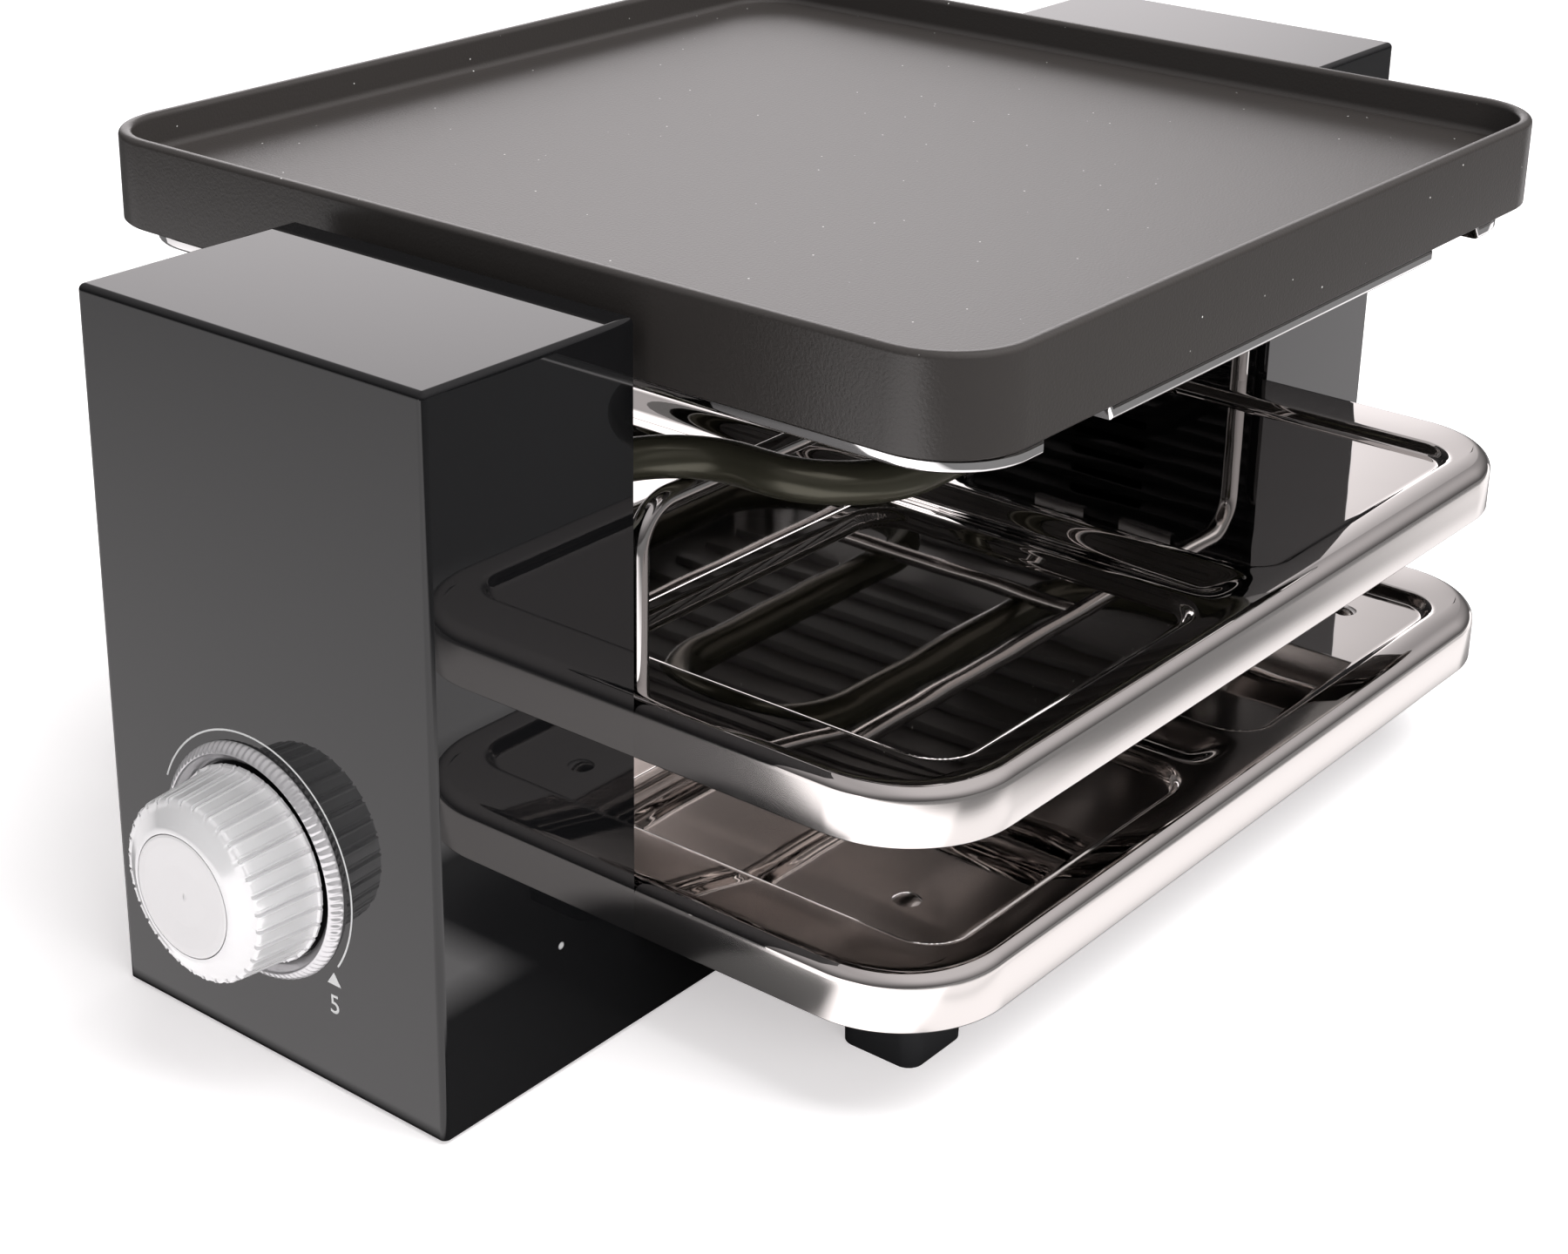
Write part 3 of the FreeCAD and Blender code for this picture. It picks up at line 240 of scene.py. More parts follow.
def specked(mat, base, speck, scale, share, size):
    # a dot in the middle of a few Voronoi cells; share is how many cells have one
    tree = mat.node_tree
    cells = tree.nodes.new("ShaderNodeTexVoronoi")
    cells.inputs["Scale"].default_value = scale
    tree.links.new(place(mat), cells.inputs["Vector"])
    chance = tree.nodes.new("ShaderNodeSeparateColor")
    tree.links.new(cells.outputs["Color"], chance.inputs["Color"])
    both = tree.nodes.new("ShaderNodeMath")
    both.operation = "MULTIPLY"
    tree.links.new(ranged(mat, chance.outputs["Red"], share, share * 0.9, 0, 1), both.inputs[0])
    tree.links.new(ranged(mat, cells.outputs["Distance"], size, size * 0.6, 0, 1), both.inputs[1])
    mix = tree.nodes.new("ShaderNodeMix")
    mix.data_type = "RGBA"
    mix.inputs[6].default_value = (*base, 1)
    mix.inputs[7].default_value = (*speck, 1)
    tree.links.new(both.outputs[0], mix.inputs[0])
    tree.links.new(mix.outputs[2], tree.nodes["Principled BSDF"].inputs["Base Color"])


blackLook = dict(colour=(0.005, 0.005, 0.0055), dust=(0.5, 0.5, 0.5), dustScale=170, dustShare=0.008,
                 dustSize=0.13, rough=0.015, ior=1.47)
glossBlack = newMaterial("glossBlack", blackLook["colour"], blackLook["rough"], ior=blackLook["ior"])
specked(glossBlack, blackLook["colour"], blackLook["dust"], blackLook["dustScale"], blackLook["dustShare"],
        blackLook["dustSize"])

coatLook = dict(colour=(0.037, 0.033, 0.031), glint=(0.75, 0.74, 0.72), glintScale=620, glintShare=0.03,
                glintSize=0.13, rough=0.3, ior=1.48, grain=1900, grainStrength=0.5, grainHeight=0.00009)
plateCoat = newMaterial("plateCoat", coatLook["colour"], coatLook["rough"], ior=coatLook["ior"])
specked(plateCoat, coatLook["colour"], coatLook["glint"], coatLook["glintScale"], coatLook["glintShare"],
        coatLook["glintSize"])
bumped(plateCoat, noiseOf(plateCoat, coatLook["grain"]), coatLook["grainStrength"], coatLook["grainHeight"])

trayChrome = newMaterial("trayChrome", (0.79, 0.755, 0.735), 0.03, metallic=1.0)
frameChrome = newMaterial("frameChrome", (0.88, 0.87, 0.87), 0.05, metallic=1.0)
rackChrome = newMaterial("rackChrome", (0.58, 0.56, 0.55), 0.09, metallic=1.0)
elementSheath = newMaterial("elementSheath", (0.060, 0.057, 0.040), 0.24, metallic=0.5)
knobSilver = newMaterial("knobSilver", (0.86, 0.85, 0.86), 0.16, metallic=0.2)
knobDisc = newMaterial("knobDisc", (0.74, 0.73, 0.735), 0.4, metallic=0.35)
bezelSilver = newMaterial("bezelSilver", (0.66, 0.65, 0.665), 0.2, metallic=0.5)
matteBlack = newMaterial("matteBlack", (0.022, 0.022, 0.024), 0.45)
rubberBlack = newMaterial("rubberBlack", (0.02, 0.02, 0.02), 0.7)
steel = newMaterial("steel", (0.56, 0.56, 0.55), 0.3, metallic=1.0)
rivetSteel = newMaterial("rivetSteel", (0.75, 0.73, 0.72), 0.12, metallic=1.0)
brass = newMaterial("brass", (0.72, 0.55, 0.25), 0.3, metallic=1.0)
ceramic = newMaterial("ceramic", (0.72, 0.70, 0.64), 0.35)
fuseCloth = newMaterial("fuseCloth", (0.70, 0.68, 0.62), 0.8)
leadBrown = newMaterial("leadBrown", (0.20, 0.09, 0.04), 0.45)
leadBlue = newMaterial("leadBlue", (0.05, 0.14, 0.42), 0.45)
leadGreen = newMaterial("leadGreen", (0.30, 0.46, 0.08), 0.45)
printWhite = newMaterial("printWhite", (0.80, 0.80, 0.80), 0.5)

finishes = {
    "gloss_black": glossBlack, "panel_black": glossBlack, "base_black": glossBlack, "plate_coat": plateCoat,
    "tray_chrome": trayChrome, "frame_chrome": frameChrome, "rack_chrome": rackChrome,
    "element_sheath": elementSheath, "knob_silver": knobSilver, "knob_disc": knobDisc,
    "bezel_silver": bezelSilver, "foot_black": matteBlack, "pad_rubber": rubberBlack,
    "cover_black": matteBlack, "screw_steel": steel, "rivet_steel": rivetSteel, "ceramic": ceramic,
    "contact_brass": brass, "shaft_steel": steel, "inlet_black": matteBlack, "lead_brown": leadBrown,
    "lead_blue": leadBlue, "lead_green": leadGreen, "fuse_sleeve": fuseCloth,
}
slotOf = {part["node"]: part["material_slot"] for part in frame["record"]["subparts"]}
for name, node in frame["nodes"].items():
    node.data.materials.clear()
    node.data.materials.append(finishes[slotOf[name]])
print("materials made")


def dress(obj, slotName, body, *replaced, finish=None):
    # gives a new piece its finish, its body and the CAD nodes it stands for
    obj.data.materials.append(finish or finishes[slotName])
    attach(obj, body)
    if replaced:
        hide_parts(*replaced)
    return obj


# Trays: pressed sheet with four recesses, a strip and a crossing valley, rounded edge, plain skirt.

trayLook = dict(halfX=107.0, halfY=102.5, corner=22.0, edge=3.0, skirt=11.0, sheet=0.8, recessX=(9.5, 93.0),
                recessY=(18.5, 95.0), recessCorner=9.0, stripY=15.5, stripCorner=5.5, depth=2.0, slope=2.6,
                valleyHalf=8.0, valleyDepth=1.8, valleyEnd=9.0, gridX=94.2, gridY=96.0, skirtRough=0.2,
                topRough=0.025, brushedBelow=2.45, mirrorAbove=2.2, between=(0.040, 0.041),
                brush=(25, 25, 900), brushStrength=0.05, brushHeight=0.0001,
                wave=45, waveStrength=0.07, waveHeight=0.0006)
trayTops = dict(lower_tray=29.6, upper_tray=64.2)


def pressed(x, y, x0, x1, y0, y1, corner):
    # 0 outside to 1 inside a rounded rectangle, eased over the slope
    qx = np.abs(x - (x0 + x1) / 2) - (x1 - x0) / 2 + corner
    qy = np.abs(y - (y0 + y1) / 2) - (y1 - y0) / 2 + corner
    outside = np.hypot(np.maximum(qx, 0), np.maximum(qy, 0))
    return ease((corner - outside - np.minimum(np.maximum(qx, qy), 0)) / trayLook["slope"])


def trayRelief(x, y):
    # depth of the presses below the tray's top
    t = trayLook
    x0, x1 = t["recessX"]
    y0, y1 = t["recessY"]
    ax, ay = np.abs(x), np.abs(y)
    z = -t["depth"] * pressed(ax, ay, x0, x1, y0, y1, t["recessCorner"])
    z -= t["depth"] * pressed(ax, y, x0, x1, -t["stripY"], t["stripY"], t["stripCorner"])
    valley = 0.5 + 0.5 * np.cos(np.pi * np.clip(ax / t["valleyHalf"], 0, 1))
    return z - t["valleyDepth"] * valley * ease((y1 - ay) / t["valleyEnd"])


def mirroredAxis(*runs):
    # grid lines from (from, to, step) runs, mirrored about 0
    half = np.concatenate([np.arange(a, b - step / 2, step) for a, b, step in runs] + [[runs[-1][1]]])
    return np.concatenate([-half[:0:-1], half])


def makeTray(name, top):
    # a grid lowered by the relief, and round it a swept edge that meets the grid's border;
    # border points go to the rounded outline: along the sides straight out, at the corners by angle
    t = trayLook
    xs = mirroredAxis((0, 21, 0.7), (21, 81, 3.0), (81, t["gridX"], 0.6))  # fine over the slopes
    ys = mirroredAxis((0, 8, 2.0), (8, 29, 0.6), (29, 80, 3.0), (80, t["gridY"], 0.64))
    gx, gy = np.meshgrid(xs, ys)
    upper = np.stack([gx, gy, top + trayRelief(gx, gy)], -1)
    lower = upper - (0, 0, t["sheet"])
    rows, cols = gx.shape
    number = np.arange(rows * cols).reshape(rows, cols)
    border = np.concatenate([number[0], number[1:, -1], number[-1, -2::-1], number[-2:0:-1, 0]])
    bx, by = gx.ravel()[border], gy.ravel()[border]
    ax, ay = np.abs(bx), np.abs(by)
    straightX, straightY = t["halfX"] - t["corner"], t["halfY"] - t["corner"]
    onSide = ax >= t["gridX"] - 1e-6
    share = np.where(onSide, 0.5 * (ay - straightY) / (t["gridY"] - straightY),
                     1 - 0.5 * (ax - straightX) / (t["gridX"] - straightX))
    angle = np.clip(share, 0, 1) * np.pi / 2
    normals = np.column_stack([np.copysign(np.cos(angle), bx), np.copysign(np.sin(angle), by)])
    px = np.where(onSide | (ax > straightX), straightX + t["corner"] * np.cos(angle), ax)
    py = np.where(~onSide | (ay > straightY), straightY + t["corner"] * np.sin(angle), ay)
    px = np.where(~onSide & (ax <= straightX), ax, px)
    py = np.where(onSide & (ay <= straightY), ay, py)
    points = np.column_stack([np.copysign(px, bx), np.copysign(py, by)])

    low, sheet, bendIn = top - t["skirt"], t["sheet"], t["edge"] - t["sheet"]
    profile = arcRows(t["edge"], top - t["edge"], t["edge"], 90, 0, 9)
    profile += [(0, low + 0.35), (0.1, low + 0.1), (0.4, low), (sheet - 0.1, low + 0.1), (sheet, low + 0.35)]
    profile += arcRows(t["edge"], top - t["edge"], bendIn, 0, 90, 7)
    ring = sweepProfile((points, normals), profile)
    shape = Shape()
    shape.surface(upper, closed=False)
    shape.surface(lower, closed=False, flip=True)
    start = shape.surface(ring, flip=True)
    turn = np.arange(len(border))
    last = start + (len(profile) - 1) * len(border)
    shape.faces += bandQuads(border, start + turn).tolist()
    shape.faces += bandQuads(last + turn, rows * cols + border).tolist()
    return dress(shape.make(name + "Sheet", 50), "tray_chrome", "chassis", name)


def finishTrays():
    # mirror tops, brushed skirts: roughness follows the height below each tray's top
    t, mat, tree = trayLook, trayChrome, trayChrome.node_tree
    height = tree.nodes.new("ShaderNodeSeparateXYZ")
    tree.links.new(place(mat), height.inputs[0])
    masks = [ranged(mat, height.outputs["Z"], (top - t["brushedBelow"]) / 1000,
                    (top - t["mirrorAbove"]) / 1000, t["skirtRough"], t["topRough"])
             for top in trayTops.values()]
    split = ranged(mat, height.outputs["Z"], *t["between"], 0, 1)
    pick = tree.nodes.new("ShaderNodeMix")
    tree.links.new(split, pick.inputs[0])
    tree.links.new(masks[0], pick.inputs[2])
    tree.links.new(masks[1], pick.inputs[3])
    tree.links.new(pick.outputs[0], tree.nodes["Principled BSDF"].inputs["Roughness"])
    brushed = bumped(mat, noiseOf(mat, 1.0, 3.0, t["brush"]), t["brushStrength"], t["brushHeight"])
    bumped(mat, noiseOf(mat, t["wave"], 1.0), t["waveStrength"], t["waveHeight"], brushed)


finishTrays()
for name, top in trayTops.items():
    makeTray(name, top)
print("trays made")


# Grill plate: a profile carried round a rounded square, flat floor, ribs under it.

plateLook = dict(half=102.5, corner=16.0, top=137.0, wall=17.4, rim=2.6, rounding=1.1, depth=7.0, floor=4.0,
                 floorFillet=1.6, ribPitch=11.5, ribWidth=4.0, ribHeight=1.8, ribHalf=90.0, ribsPerSide=7,
                 ribDraft=0.6, ribSunk=0.2)


def makePlate():
    # the wall's profile carried round and capped flat; ribs are boxes with lower corners drawn in
    p = plateLook
    top, low, rim, r = p["top"], p["top"] - p["wall"], p["rim"], p["rounding"]
    floorTop = top - p["depth"]
    under = floorTop - p["floor"]
    profile = [(rim + 0.2, under), (rim + 0.2, low + 0.3), (rim - 0.1, low), (0.3, low), (0, low + 0.3)]
    profile += arcRows(r, top - r, r, 0, 90, 7) + arcRows(rim - r, top - r, r, 100, 180, 6)
    fillet = p["floorFillet"]
    profile += arcRows(rim + 0.3 + fillet, floorTop + fillet, fillet, 360, 270, 8)
    outline = roundedOutline(p["half"], p["half"], p["corner"], 16)
    shape = Shape()
    shape.surface(sweepProfile(outline, profile), caps=True)
    crest = p["ribWidth"] / 2 - p["ribDraft"]
    for x in np.arange(-p["ribsPerSide"], p["ribsPerSide"] + 1) * p["ribPitch"]:
        points, faces = boxFaces((x - p["ribWidth"] / 2, -p["ribHalf"], under - p["ribHeight"]),
                                 (x + p["ribWidth"] / 2, p["ribHalf"], under + p["ribSunk"]))
        points = np.array(points)
        points[:4, 0] = x + np.sign(points[:4, 0] - x) * crest
        shape.add(points, faces)
    return dress(shape.make("grillPlateCast", 40), "plate_coat", "lift_plate", "grill_plate")


makePlate()
print("plate made")


# Chrome frame: rolled hem and inward lip, cut out beside the corners, four tabs.

frameLook = dict(halfX=96.0, halfY=98.5, corner=15.0, sheet=1.0, bottom=115.0, top=126.0, lip=6.0, hem=2.6,
                 hemRound=0.9, notchX=57.0, notchWidth=20.0, notchHeight=4.8, notchEase=2.5, tabY=12.0,
                 tabHalf=7.0, tabZ=116.4, tabDrop=12.0, tabReach=107.0)


def makeFrame():
    # the section carried round; at the cut-outs its lower part moves up to the notch's height
    # by a share that rises and falls as a quarter circle; each tab is an arm and a flange
    f = frameLook
    s, bottom, top, hem = f["sheet"], f["bottom"], f["top"], f["hem"]
    profile = [(s + f["lip"], bottom + s), (s + f["lip"], bottom)]
    profile += arcRows(-s + f["hemRound"], bottom + f["hemRound"], f["hemRound"], 270, 360, 6)
    profile += [(-s, bottom + hem - 0.6), (-0.6, bottom + hem - 0.15), (0, bottom + hem), (0, top), (s, top),
                (s, bottom + s)]
    n0, n1, e = f["notchX"], f["notchX"] + f["notchWidth"], f["notchEase"]
    flank = np.concatenate([np.linspace(n0 - 0.5, n0 + e, 10), np.linspace(n1 - e, n1 + 0.5, 10)])
    alongX = np.concatenate([-flank[::-1], flank])
    points, normals = roundedOutline(f["halfX"], f["halfY"], f["corner"], 14, alongX)
    ring = sweepProfile((points, normals), profile + profile[:1])
    x = np.abs(points[:, 0])
    rise, fall = (np.sqrt(1 - (1 - np.clip(away / e, 0, 1)) ** 2) for away in (x - n0, n1 - x))
    bite = np.where(np.abs(normals[:, 1]) > 0.999, rise * fall, 0)[None, :, None]
    flat = sweepProfile((points, normals), [(min(max(i, 0), s), max(z, bottom + f["notchHeight"]))
                                            for i, z in profile + profile[:1]])
    shape = Shape()
    shape.surface(ring + (flat - ring) * bite)
    reach, half, base = f["tabReach"], f["tabHalf"], f["tabZ"]
    for sx in (-1, 1):
        for y in (-f["tabY"], f["tabY"]):
            for near, drop in ((f["halfX"] - 0.5, 0), (reach - s, f["tabDrop"])):
                x0, x1 = sorted((sx * near, sx * reach))
                shape.add(*boxFaces((x0, y - half, base - drop), (x1, y + half, base + s)))
    return dress(shape.make("reflectorFrameSheet", 40), "frame_chrome", "chassis", "reflector_frame")


makeFrame()
print("frame made")


# Heating element: one tube bent in plan. Rack: two bent wires and a cross wire.

elementLook = dict(radius=3.75, z=102.0, outerY=70.0, innerY=19.5, farX=66.0, nearX=-38.0, entryX=-86.0,
                   entryY=28.0, tailX=-118.0, bend=19.0)
rackLook = dict(radius=2.0, y=36.0, z=96.15, legX=101.5, foot=64.2, bend=8.0, crossX=40.0, crossRadius=1.7,
                crossShort=0.8)


def makeElement():
    # half the route from the tail in, and the same mirrored in y back out
    e = elementLook
    half = [(e["tailX"], e["entryY"]), (e["entryX"], e["entryY"]), (e["entryX"], e["outerY"]),
            (e["farX"], e["outerY"]), (e["farX"], e["innerY"]), (e["nearX"], e["innerY"])]
    corners = [(x, y, e["z"]) for x, y in half] + [(x, -y, e["z"]) for x, y in reversed(half)]
    shape = Shape()
    shape.surface(tubeSurface(bentRoute(corners, e["bend"]), e["radius"], (0, 0, 1)), caps=True)
    return dress(shape.make("heatingElementTube"), "element_sheath", "chassis", "heating_element")


def makeRack():
    # two wires up, across and down, and a straight one that joins them
    r = rackLook
    shape = Shape()
    for y in (-r["y"], r["y"]):
        corners = [(x, y, z) for x, z in ((-r["legX"], r["foot"]), (-r["legX"], r["z"]), (r["legX"], r["z"]),
                                          (r["legX"], r["foot"]))]
        shape.surface(tubeSurface(bentRoute(corners, r["bend"]), r["radius"], (0, 1, 0), 24), caps=True)
    reach = r["y"] - r["crossShort"]
    cross = bentRoute([(r["crossX"], -reach, r["z"]), (r["crossX"], reach, r["z"])], 0)
    shape.surface(tubeSurface(cross, r["crossRadius"], (0, 0, 1), 20), caps=True)
    return dress(shape.make("elementRackWires"), "rack_chrome", "chassis", "element_rack")


makeElement()
makeRack()
print("element and rack made")


# Knob and bezel: profiles turned about the knob's axis, with ribs or teeth round them.

knobLook = dict(face=-154.0, y=3.5, z=37.8, ribs=32, groove=0.7, lip=0.2, grooveShare=0.2, baseRadius=17.2,
                rimRadius=16.3, discRadius=11.5, gap=1.0, rimOut=13.6, faceOut=15.9, bore=5.6, wall=2.0,
                pocket=8.0)
bezelLook = dict(inner=18.0, outer=21.5, height=2.0, teeth=96, tooth=0.4)
scaleLook = dict(radius=23.4, width=0.34, start=22, end=214, arrowY=-18.3, arrowZ=-14.6, arrowHalf=1.6,
                 arrowHeight=2.4, number="5", numberSize=5.2, numberY=-16.9, numberZ=-22.6, rise=0.05)


def turned(shape, profile, wave, sides):
    # profile rows (distance out, radius, share of the wave) turned about the knob's axis
    k = knobLook
    a = np.linspace(0, 2 * np.pi, sides, endpoint=False)
    out, radius, share = np.asarray(profile, float).T
    r = radius[:, None] + share[:, None] * wave(a)[None]
    x = np.broadcast_to((k["face"] - out)[:, None], r.shape)
    shape.surface(np.stack([x, k["y"] + r * np.cos(a), k["z"] + r * np.sin(a)], -1), flip=True)


def makeKnob():
    # skirt, grooved side, coned rim and a recessed disc, turned about the axis
    k = knobLook

    def grooves(a):
        # narrow cuts between ribs, each with a small lip on both sides
        phase = np.abs((a * k["ribs"] / (2 * np.pi)) % 1.0 - 0.5)
        half = k["grooveShare"] / 2
        lips = k["lip"] * ease((0.09 - np.abs(phase - half - 0.06)) / 0.06)
        return lips - k["groove"] * ease((half + 0.03 - phase) / 0.06)

    gap, rim, face, bore = k["gap"], k["rimOut"], k["faceOut"], k["bore"]
    base, crown, disc = k["baseRadius"], k["rimRadius"], k["discRadius"]
    inside, deep = base - k["wall"], gap + k["pocket"]
    profile = [(deep, bore, 0), (deep, inside - 0.6, 0), (gap + 0.3, inside, 0), (gap, inside + 0.3, 0),
               (gap, base + 0.3, 0), (gap + 0.2, base + 0.6, 0.3), (gap + 0.7, base + 0.6, 0.5),
               (gap + 0.9, base + 0.1, 0.8)]
    t = np.linspace(0.12, 0.95, 10)
    profile += np.column_stack([gap + (rim - gap) * t, base + (crown - base) * t, np.ones(10)]).tolist()
    profile += [(rim - 0.35, crown - 0.02, 1), (rim - 0.05, crown - 0.15, 0.9),
                (rim + 0.15, crown - 0.4, 0.5)]
    t = np.linspace(0.12, 1, 6)
    profile += np.column_stack([rim + (face - rim) * t, crown - 0.5 + (disc - crown + 0.5) * t,
                                np.zeros(6)]).tolist()
    profile += [(face - 0.02, disc - 0.4, 0), (face - 1.2, disc - 0.55, 0), (face - 1.2, bore, 0),
                (deep, bore, 0)]
    shape = Shape()
    turned(shape, profile, grooves, k["ribs"] * 24)
    return dress(shape.make("knobShell", 40), "knob_silver", "heat_knob", "knob")


def makeBezel():
    # a low ring with a sloped inner step; its teeth are a cosine round the outer slope
    b = bezelLook
    inner, outer, h = b["inner"], b["outer"], b["height"]
    profile = [(0, inner, 0), (0.1, inner + 0.03, 0), (0.7, inner + 0.75, 0), (1.3, inner + 1.5, 0),
               (1.45, inner + 1.65, 0), (h - 0.1, inner + 1.75, 0), (h, inner + 1.9, 0),
               (h - 0.05, inner + 2.1, -0.4),
               (1.7, outer - 0.9, -0.8), (1.3, outer - 0.5, -1), (0.8, outer - 0.15, -1), (0.4, outer, -0.6),
               (0.15, outer, 0), (0, outer, 0), (0, inner, 0)]
    shape = Shape()
    turned(shape, profile, lambda a: b["tooth"] * (0.5 + 0.5 * np.cos(a * b["teeth"])), b["teeth"] * 8)
    return dress(shape.make("knobBezelRing", 40), "bezel_silver", "chassis", "knob_bezel")


def onFace(points, rise):
    # (sideways, up) about the knob's axis, lifted off the housing's face
    points = np.asarray(points, float)
    x = np.full(points.shape[:-1], knobLook["face"] - rise)
    return np.stack([x, knobLook["y"] + points[..., 0], knobLook["z"] + points[..., 1]], -1)


def makeScale():
    # thin printed arc with an arrowhead at one end, both sunk a little into the face
    s = scaleLook
    a = np.radians(np.linspace(s["start"], s["end"], 96))[:, None]
    ring = np.array([(-0.03, -0.5), (-0.03, 0.5), (s["rise"], 0.5), (s["rise"], -0.5)])
    r = s["radius"] + s["width"] * ring[None, :, 1]
    flat = onFace(np.stack([r * np.cos(a), r * np.sin(a)], -1), 0)
    flat[..., 0] -= ring[None, :, 0]
    shape = Shape()
    shape.surface(flat, caps=True)
    y, z, w, h = s["arrowY"], s["arrowZ"], s["arrowHalf"], s["arrowHeight"]
    arrow = [(y, z), (y + w, z - h), (y - w, z - h)]
    shape.surface(np.stack([onFace(arrow, -0.03), onFace(arrow, s["rise"])]), caps=True)
    return dress(shape.make("heatScale"), "gloss_black", "chassis", finish=printWhite)


def makeNumber():
    # a plain number below the arrowhead, in Blender's own font, turned to stand on the face
    s = scaleLook
    text = bpy.data.curves.new("scaleNumber", "FONT")
    text.body, text.size, text.extrude = s["number"], s["numberSize"], s["rise"]
    source = bpy.data.objects.new("scaleNumberText", text)
    scene.collection.objects.link(source)
    mesh = bpy.data.meshes.new_from_object(source)
    bpy.data.objects.remove(source)
    origin = onFace([s["numberY"], s["numberZ"]], 0) + (middleX, 0, 0)
    turn = Matrix(((0, 0, -1), (-1, 0, 0), (0, 1, 0))).to_4x4()
    mesh.transform(Matrix.Translation(Vector(origin) / 1000) @ Matrix.Scale(0.001, 4) @ turn)
    mesh.materials.clear()
    obj = bpy.data.objects.new("scaleNumber", mesh)
    scene.collection.objects.link(obj)
    return dress(obj, "gloss_black", "chassis", finish=printWhite)


makeKnob()
makeBezel()
makeScale()
makeNumber()
print("knob and scale made")


# Studio: pale floor, soft lamps, surroundings that only reflections see.

floorLook = dict(size=6.0, colour=(0.88, 0.87, 0.872), lift=0.47, liftFrom=0.6, liftTo=1.4,
                 liftColour=(1.0, 0.965, 0.972))
# bright places in reflections: strength, then borders as axis, where it starts, where it is full
mirrorLook = dict(dim=0.15,
                  near=(1.05, ("Y", -0.148, -0.132), ("Y", -0.106, -0.112)),
                  left=(1.75, ("Y", 0.8, -0.1), ("Y", -0.24, -0.17)),
                  leftCorner=(1, ("X", -0.094, -0.104), ("Y", -0.066, -0.076)),
                  leftStrip=("X", -0.147, -0.149),
                  far=(1.0, ("X", 0.045, -0.01), ("Y", -0.132, -0.145), ("Y", -0.21, -0.18)),
                  right=(1.1, ("X", 0.12, 0.27), ("Y", -0.08, -0.09), ("Y", -0.20, -0.17)))


def makeFloor():
    # pale and shadowed; lifted to white for the camera, and by place for reflections
    f, m = floorLook, mirrorLook
    mat = newMaterial("floorPale", f["colour"], 0.8)
    tree = mat.node_tree
    shader = tree.nodes["Principled BSDF"]
    path = tree.nodes.new("ShaderNodeLightPath")
    split = tree.nodes.new("ShaderNodeSeparateXYZ")
    tree.links.new(place(mat), split.inputs[0])

    def joined(operation, *values):
        # the operation over all values, from the left
        last = values[0]
        for value in values[1:]:
            node = tree.nodes.new("ShaderNodeMath")
            node.operation = operation
            for item, socket in zip((last, value), node.inputs):
                if isinstance(item, (int, float)):
                    socket.default_value = item
                else:
                    tree.links.new(item, socket)
            last = node.outputs[0]
        return last

    def over(axis, start, full, level=1):
        # 0 at start to level at full, along one axis of the floor
        return ranged(mat, split.outputs[axis], start, full, 0, level)

    def zone(level, first, *others):
        return joined("MULTIPLY", over(*first, level), *(over(*border) for border in others))

    # bright strip close to the front, bright left side, and two cards further out
    near, far, right = zone(*m["near"]), zone(*m["far"]), zone(*m["right"])
    leftShape = joined("MAXIMUM", zone(*m["leftCorner"]), over(*m["leftStrip"]))
    left = joined("MULTIPLY", zone(*m["left"]), leftShape)
    mirrored = joined("MULTIPLY", joined("MAXIMUM", near, left, far, right), path.outputs["Is Glossy Ray"])
    reach = tree.nodes.new("ShaderNodeVectorMath")
    reach.operation = "LENGTH"
    tree.links.new(place(mat), reach.inputs[0])
    lift = ranged(mat, reach.outputs["Value"], f["liftFrom"], f["liftTo"], f["lift"], 1.0)
    lifted = joined("MULTIPLY", path.outputs["Is Camera Ray"], lift)
    mix = tree.nodes.new("ShaderNodeMix")
    mix.data_type = "RGBA"
    mix.inputs[6].default_value = (*f["colour"], 1)
    mix.inputs[7].default_value = (*(m["dim"] * c for c in f["colour"]), 1)
    tree.links.new(path.outputs["Is Glossy Ray"], mix.inputs[0])
    tree.links.new(mix.outputs[2], shader.inputs["Base Color"])
    shader.inputs["Emission Color"].default_value = (*f["liftColour"], 1)
    tree.links.new(joined("ADD", lifted, mirrored), shader.inputs["Emission Strength"])
    mesh = bpy.data.meshes.new("floor")
    e = f["size"]
    mesh.from_pydata([(-e, -e, 0), (e, -e, 0), (e, e, 0), (-e, e, 0)], [], [[0, 1, 2, 3]])
    mesh.materials.append(mat)
    obj = bpy.data.objects.new("floor", mesh)
    scene.collection.objects.link(obj)


def makeLamp(name, spot, aim, size, power):
    # a soft rectangle at spot that looks at aim, unseen by reflections
    data = bpy.data.lights.new(name, "AREA")
    data.shape = "RECTANGLE"
    data.size, data.size_y = size
    data.energy = power
    obj = bpy.data.objects.new(name, data)
    scene.collection.objects.link(obj)
    obj.location = spot
    obj.rotation_mode = "QUATERNION"
    obj.rotation_quaternion = (Vector(aim) - Vector(spot)).to_track_quat("-Z", "Y")
    obj.visible_glossy = False


makeFloor()
makeLamp("overhead", (0.35, -0.5, 1.4), (0, 0, 0), (1.3, 1.3), 33)
makeLamp("leftKey", (-1.2, -0.3, 0.7), (0, 0, 0.05), (0.8, 0.8), 1.6)
makeLamp("frontFill", (-0.5, -1.1, 0.6), (-0.1, 0, 0.05), (0.6, 0.5), 5)

# direction, cosine where it starts and is full, strength
glows = [((0.715, 0.69, 0.12), 0.87, 0.998, 1.8),
         ((0.2, -0.6, 0.8), 0.4, 0.95, 0.2),
         ((0, 0, 1), 0.0, 0.7, 0.35)]
worldLook = dict(glossBase=0.1, diffuse=0.3, tint=(1, 0.957, 0.968, 1))


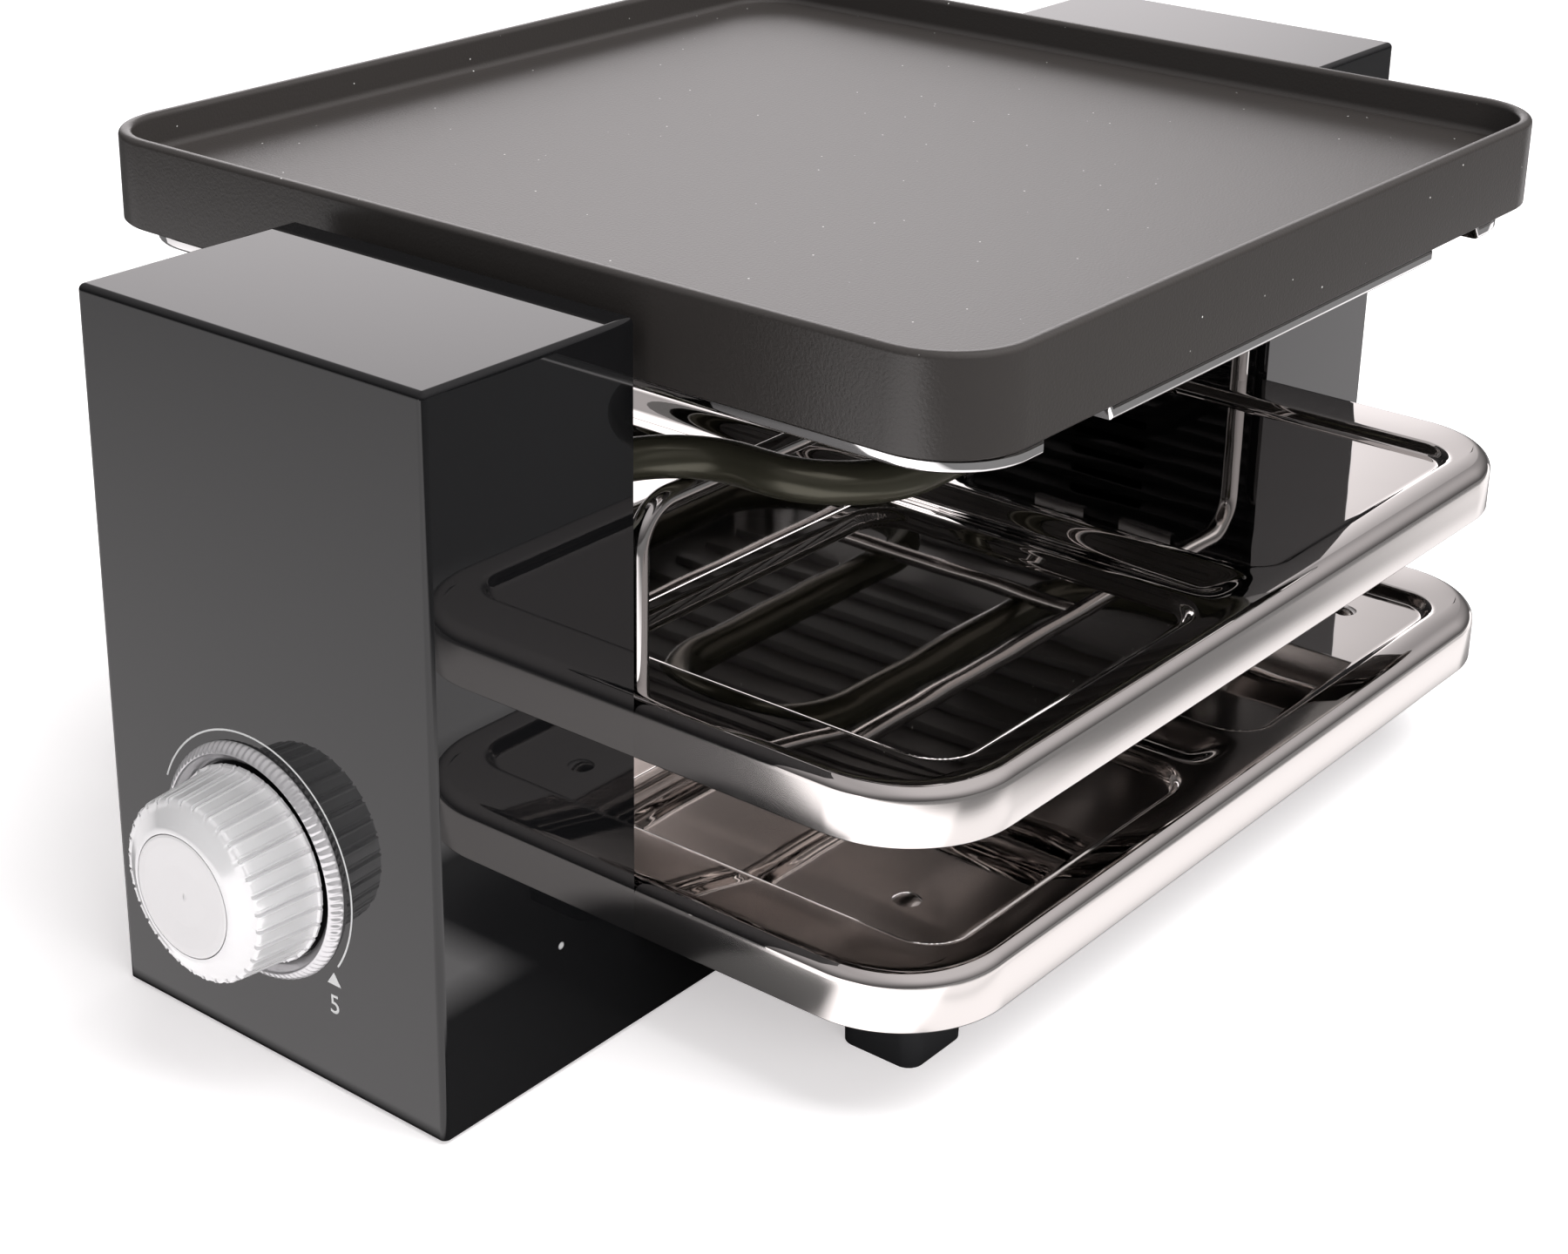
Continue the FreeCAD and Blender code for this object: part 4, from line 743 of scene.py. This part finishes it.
def makeWorld():
    # white to the camera, even to diffuse light; reflections see a base plus the glows, each
    # a smooth step of the cosine between the ray and the glow's direction
    world = bpy.data.worlds.new("surroundings")
    scene.world = world
    world.use_nodes = True
    tree = world.node_tree
    tree.nodes.clear()
    link = tree.links.new
    coords = tree.nodes.new("ShaderNodeTexCoord")
    total = None
    for direction, low, high, level in glows:
        dot = tree.nodes.new("ShaderNodeVectorMath")
        dot.operation = "DOT_PRODUCT"
        dot.inputs[1].default_value = Vector(direction).normalized()
        link(coords.outputs["Generated"], dot.inputs[0])
        span = tree.nodes.new("ShaderNodeMapRange")
        span.interpolation_type = "SMOOTHSTEP"
        span.inputs["From Min"].default_value = low
        span.inputs["From Max"].default_value = high
        span.inputs["To Max"].default_value = level
        link(dot.outputs["Value"], span.inputs["Value"])
        add = tree.nodes.new("ShaderNodeMath")
        link(span.outputs["Result"], add.inputs[0])
        if total is None:
            add.inputs[1].default_value = worldLook["glossBase"]
        else:
            link(total, add.inputs[1])
        total = add.outputs[0]

    def background(colour, strength):
        node = tree.nodes.new("ShaderNodeBackground")
        node.inputs["Color"].default_value = colour
        node.inputs["Strength"].default_value = strength
        return node

    def mixed(test, first, second):
        node = tree.nodes.new("ShaderNodeMixShader")
        link(test, node.inputs[0])
        link(first.outputs[0], node.inputs[1])
        link(second.outputs[0], node.inputs[2])
        return node

    mirror = background(worldLook["tint"], 1.0)
    link(total, mirror.inputs["Strength"])
    path = tree.nodes.new("ShaderNodeLightPath")
    light = mixed(path.outputs["Is Glossy Ray"], background((1, 1, 1, 1), worldLook["diffuse"]), mirror)
    shown = mixed(path.outputs["Is Camera Ray"], light, background((1, 1, 1, 1), 1.0))
    output = tree.nodes.new("ShaderNodeOutputWorld")
    link(shown.outputs[0], output.inputs["Surface"])


makeWorld()

cameraLook = dict(lens=64.61, shiftY=-0.1, sensor=36.0, clip=0.01, at=(-0.41832, -0.32207, 0.27614),
                  right=(0.621168, -0.783343, 0.014221), up=(0.276541, 0.244449, 0.929035),
                  back=(-0.733358, -0.571458, 0.369710))


def makeCamera():
    # right, up and back are the columns of its rotation
    c = cameraLook
    data = bpy.data.cameras.new("camera")
    data.sensor_width, data.lens = c["sensor"], c["lens"]
    data.shift_y, data.clip_start = c["shiftY"], c["clip"]
    obj = bpy.data.objects.new("camera", data)
    scene.collection.objects.link(obj)
    obj.location = c["at"]
    obj.rotation_mode = "QUATERNION"
    obj.rotation_quaternion = Matrix((c["right"], c["up"], c["back"])).transposed().to_quaternion()
    scene.camera = obj


makeCamera()
scene.view_settings.view_transform = "Standard"
print("studio made")
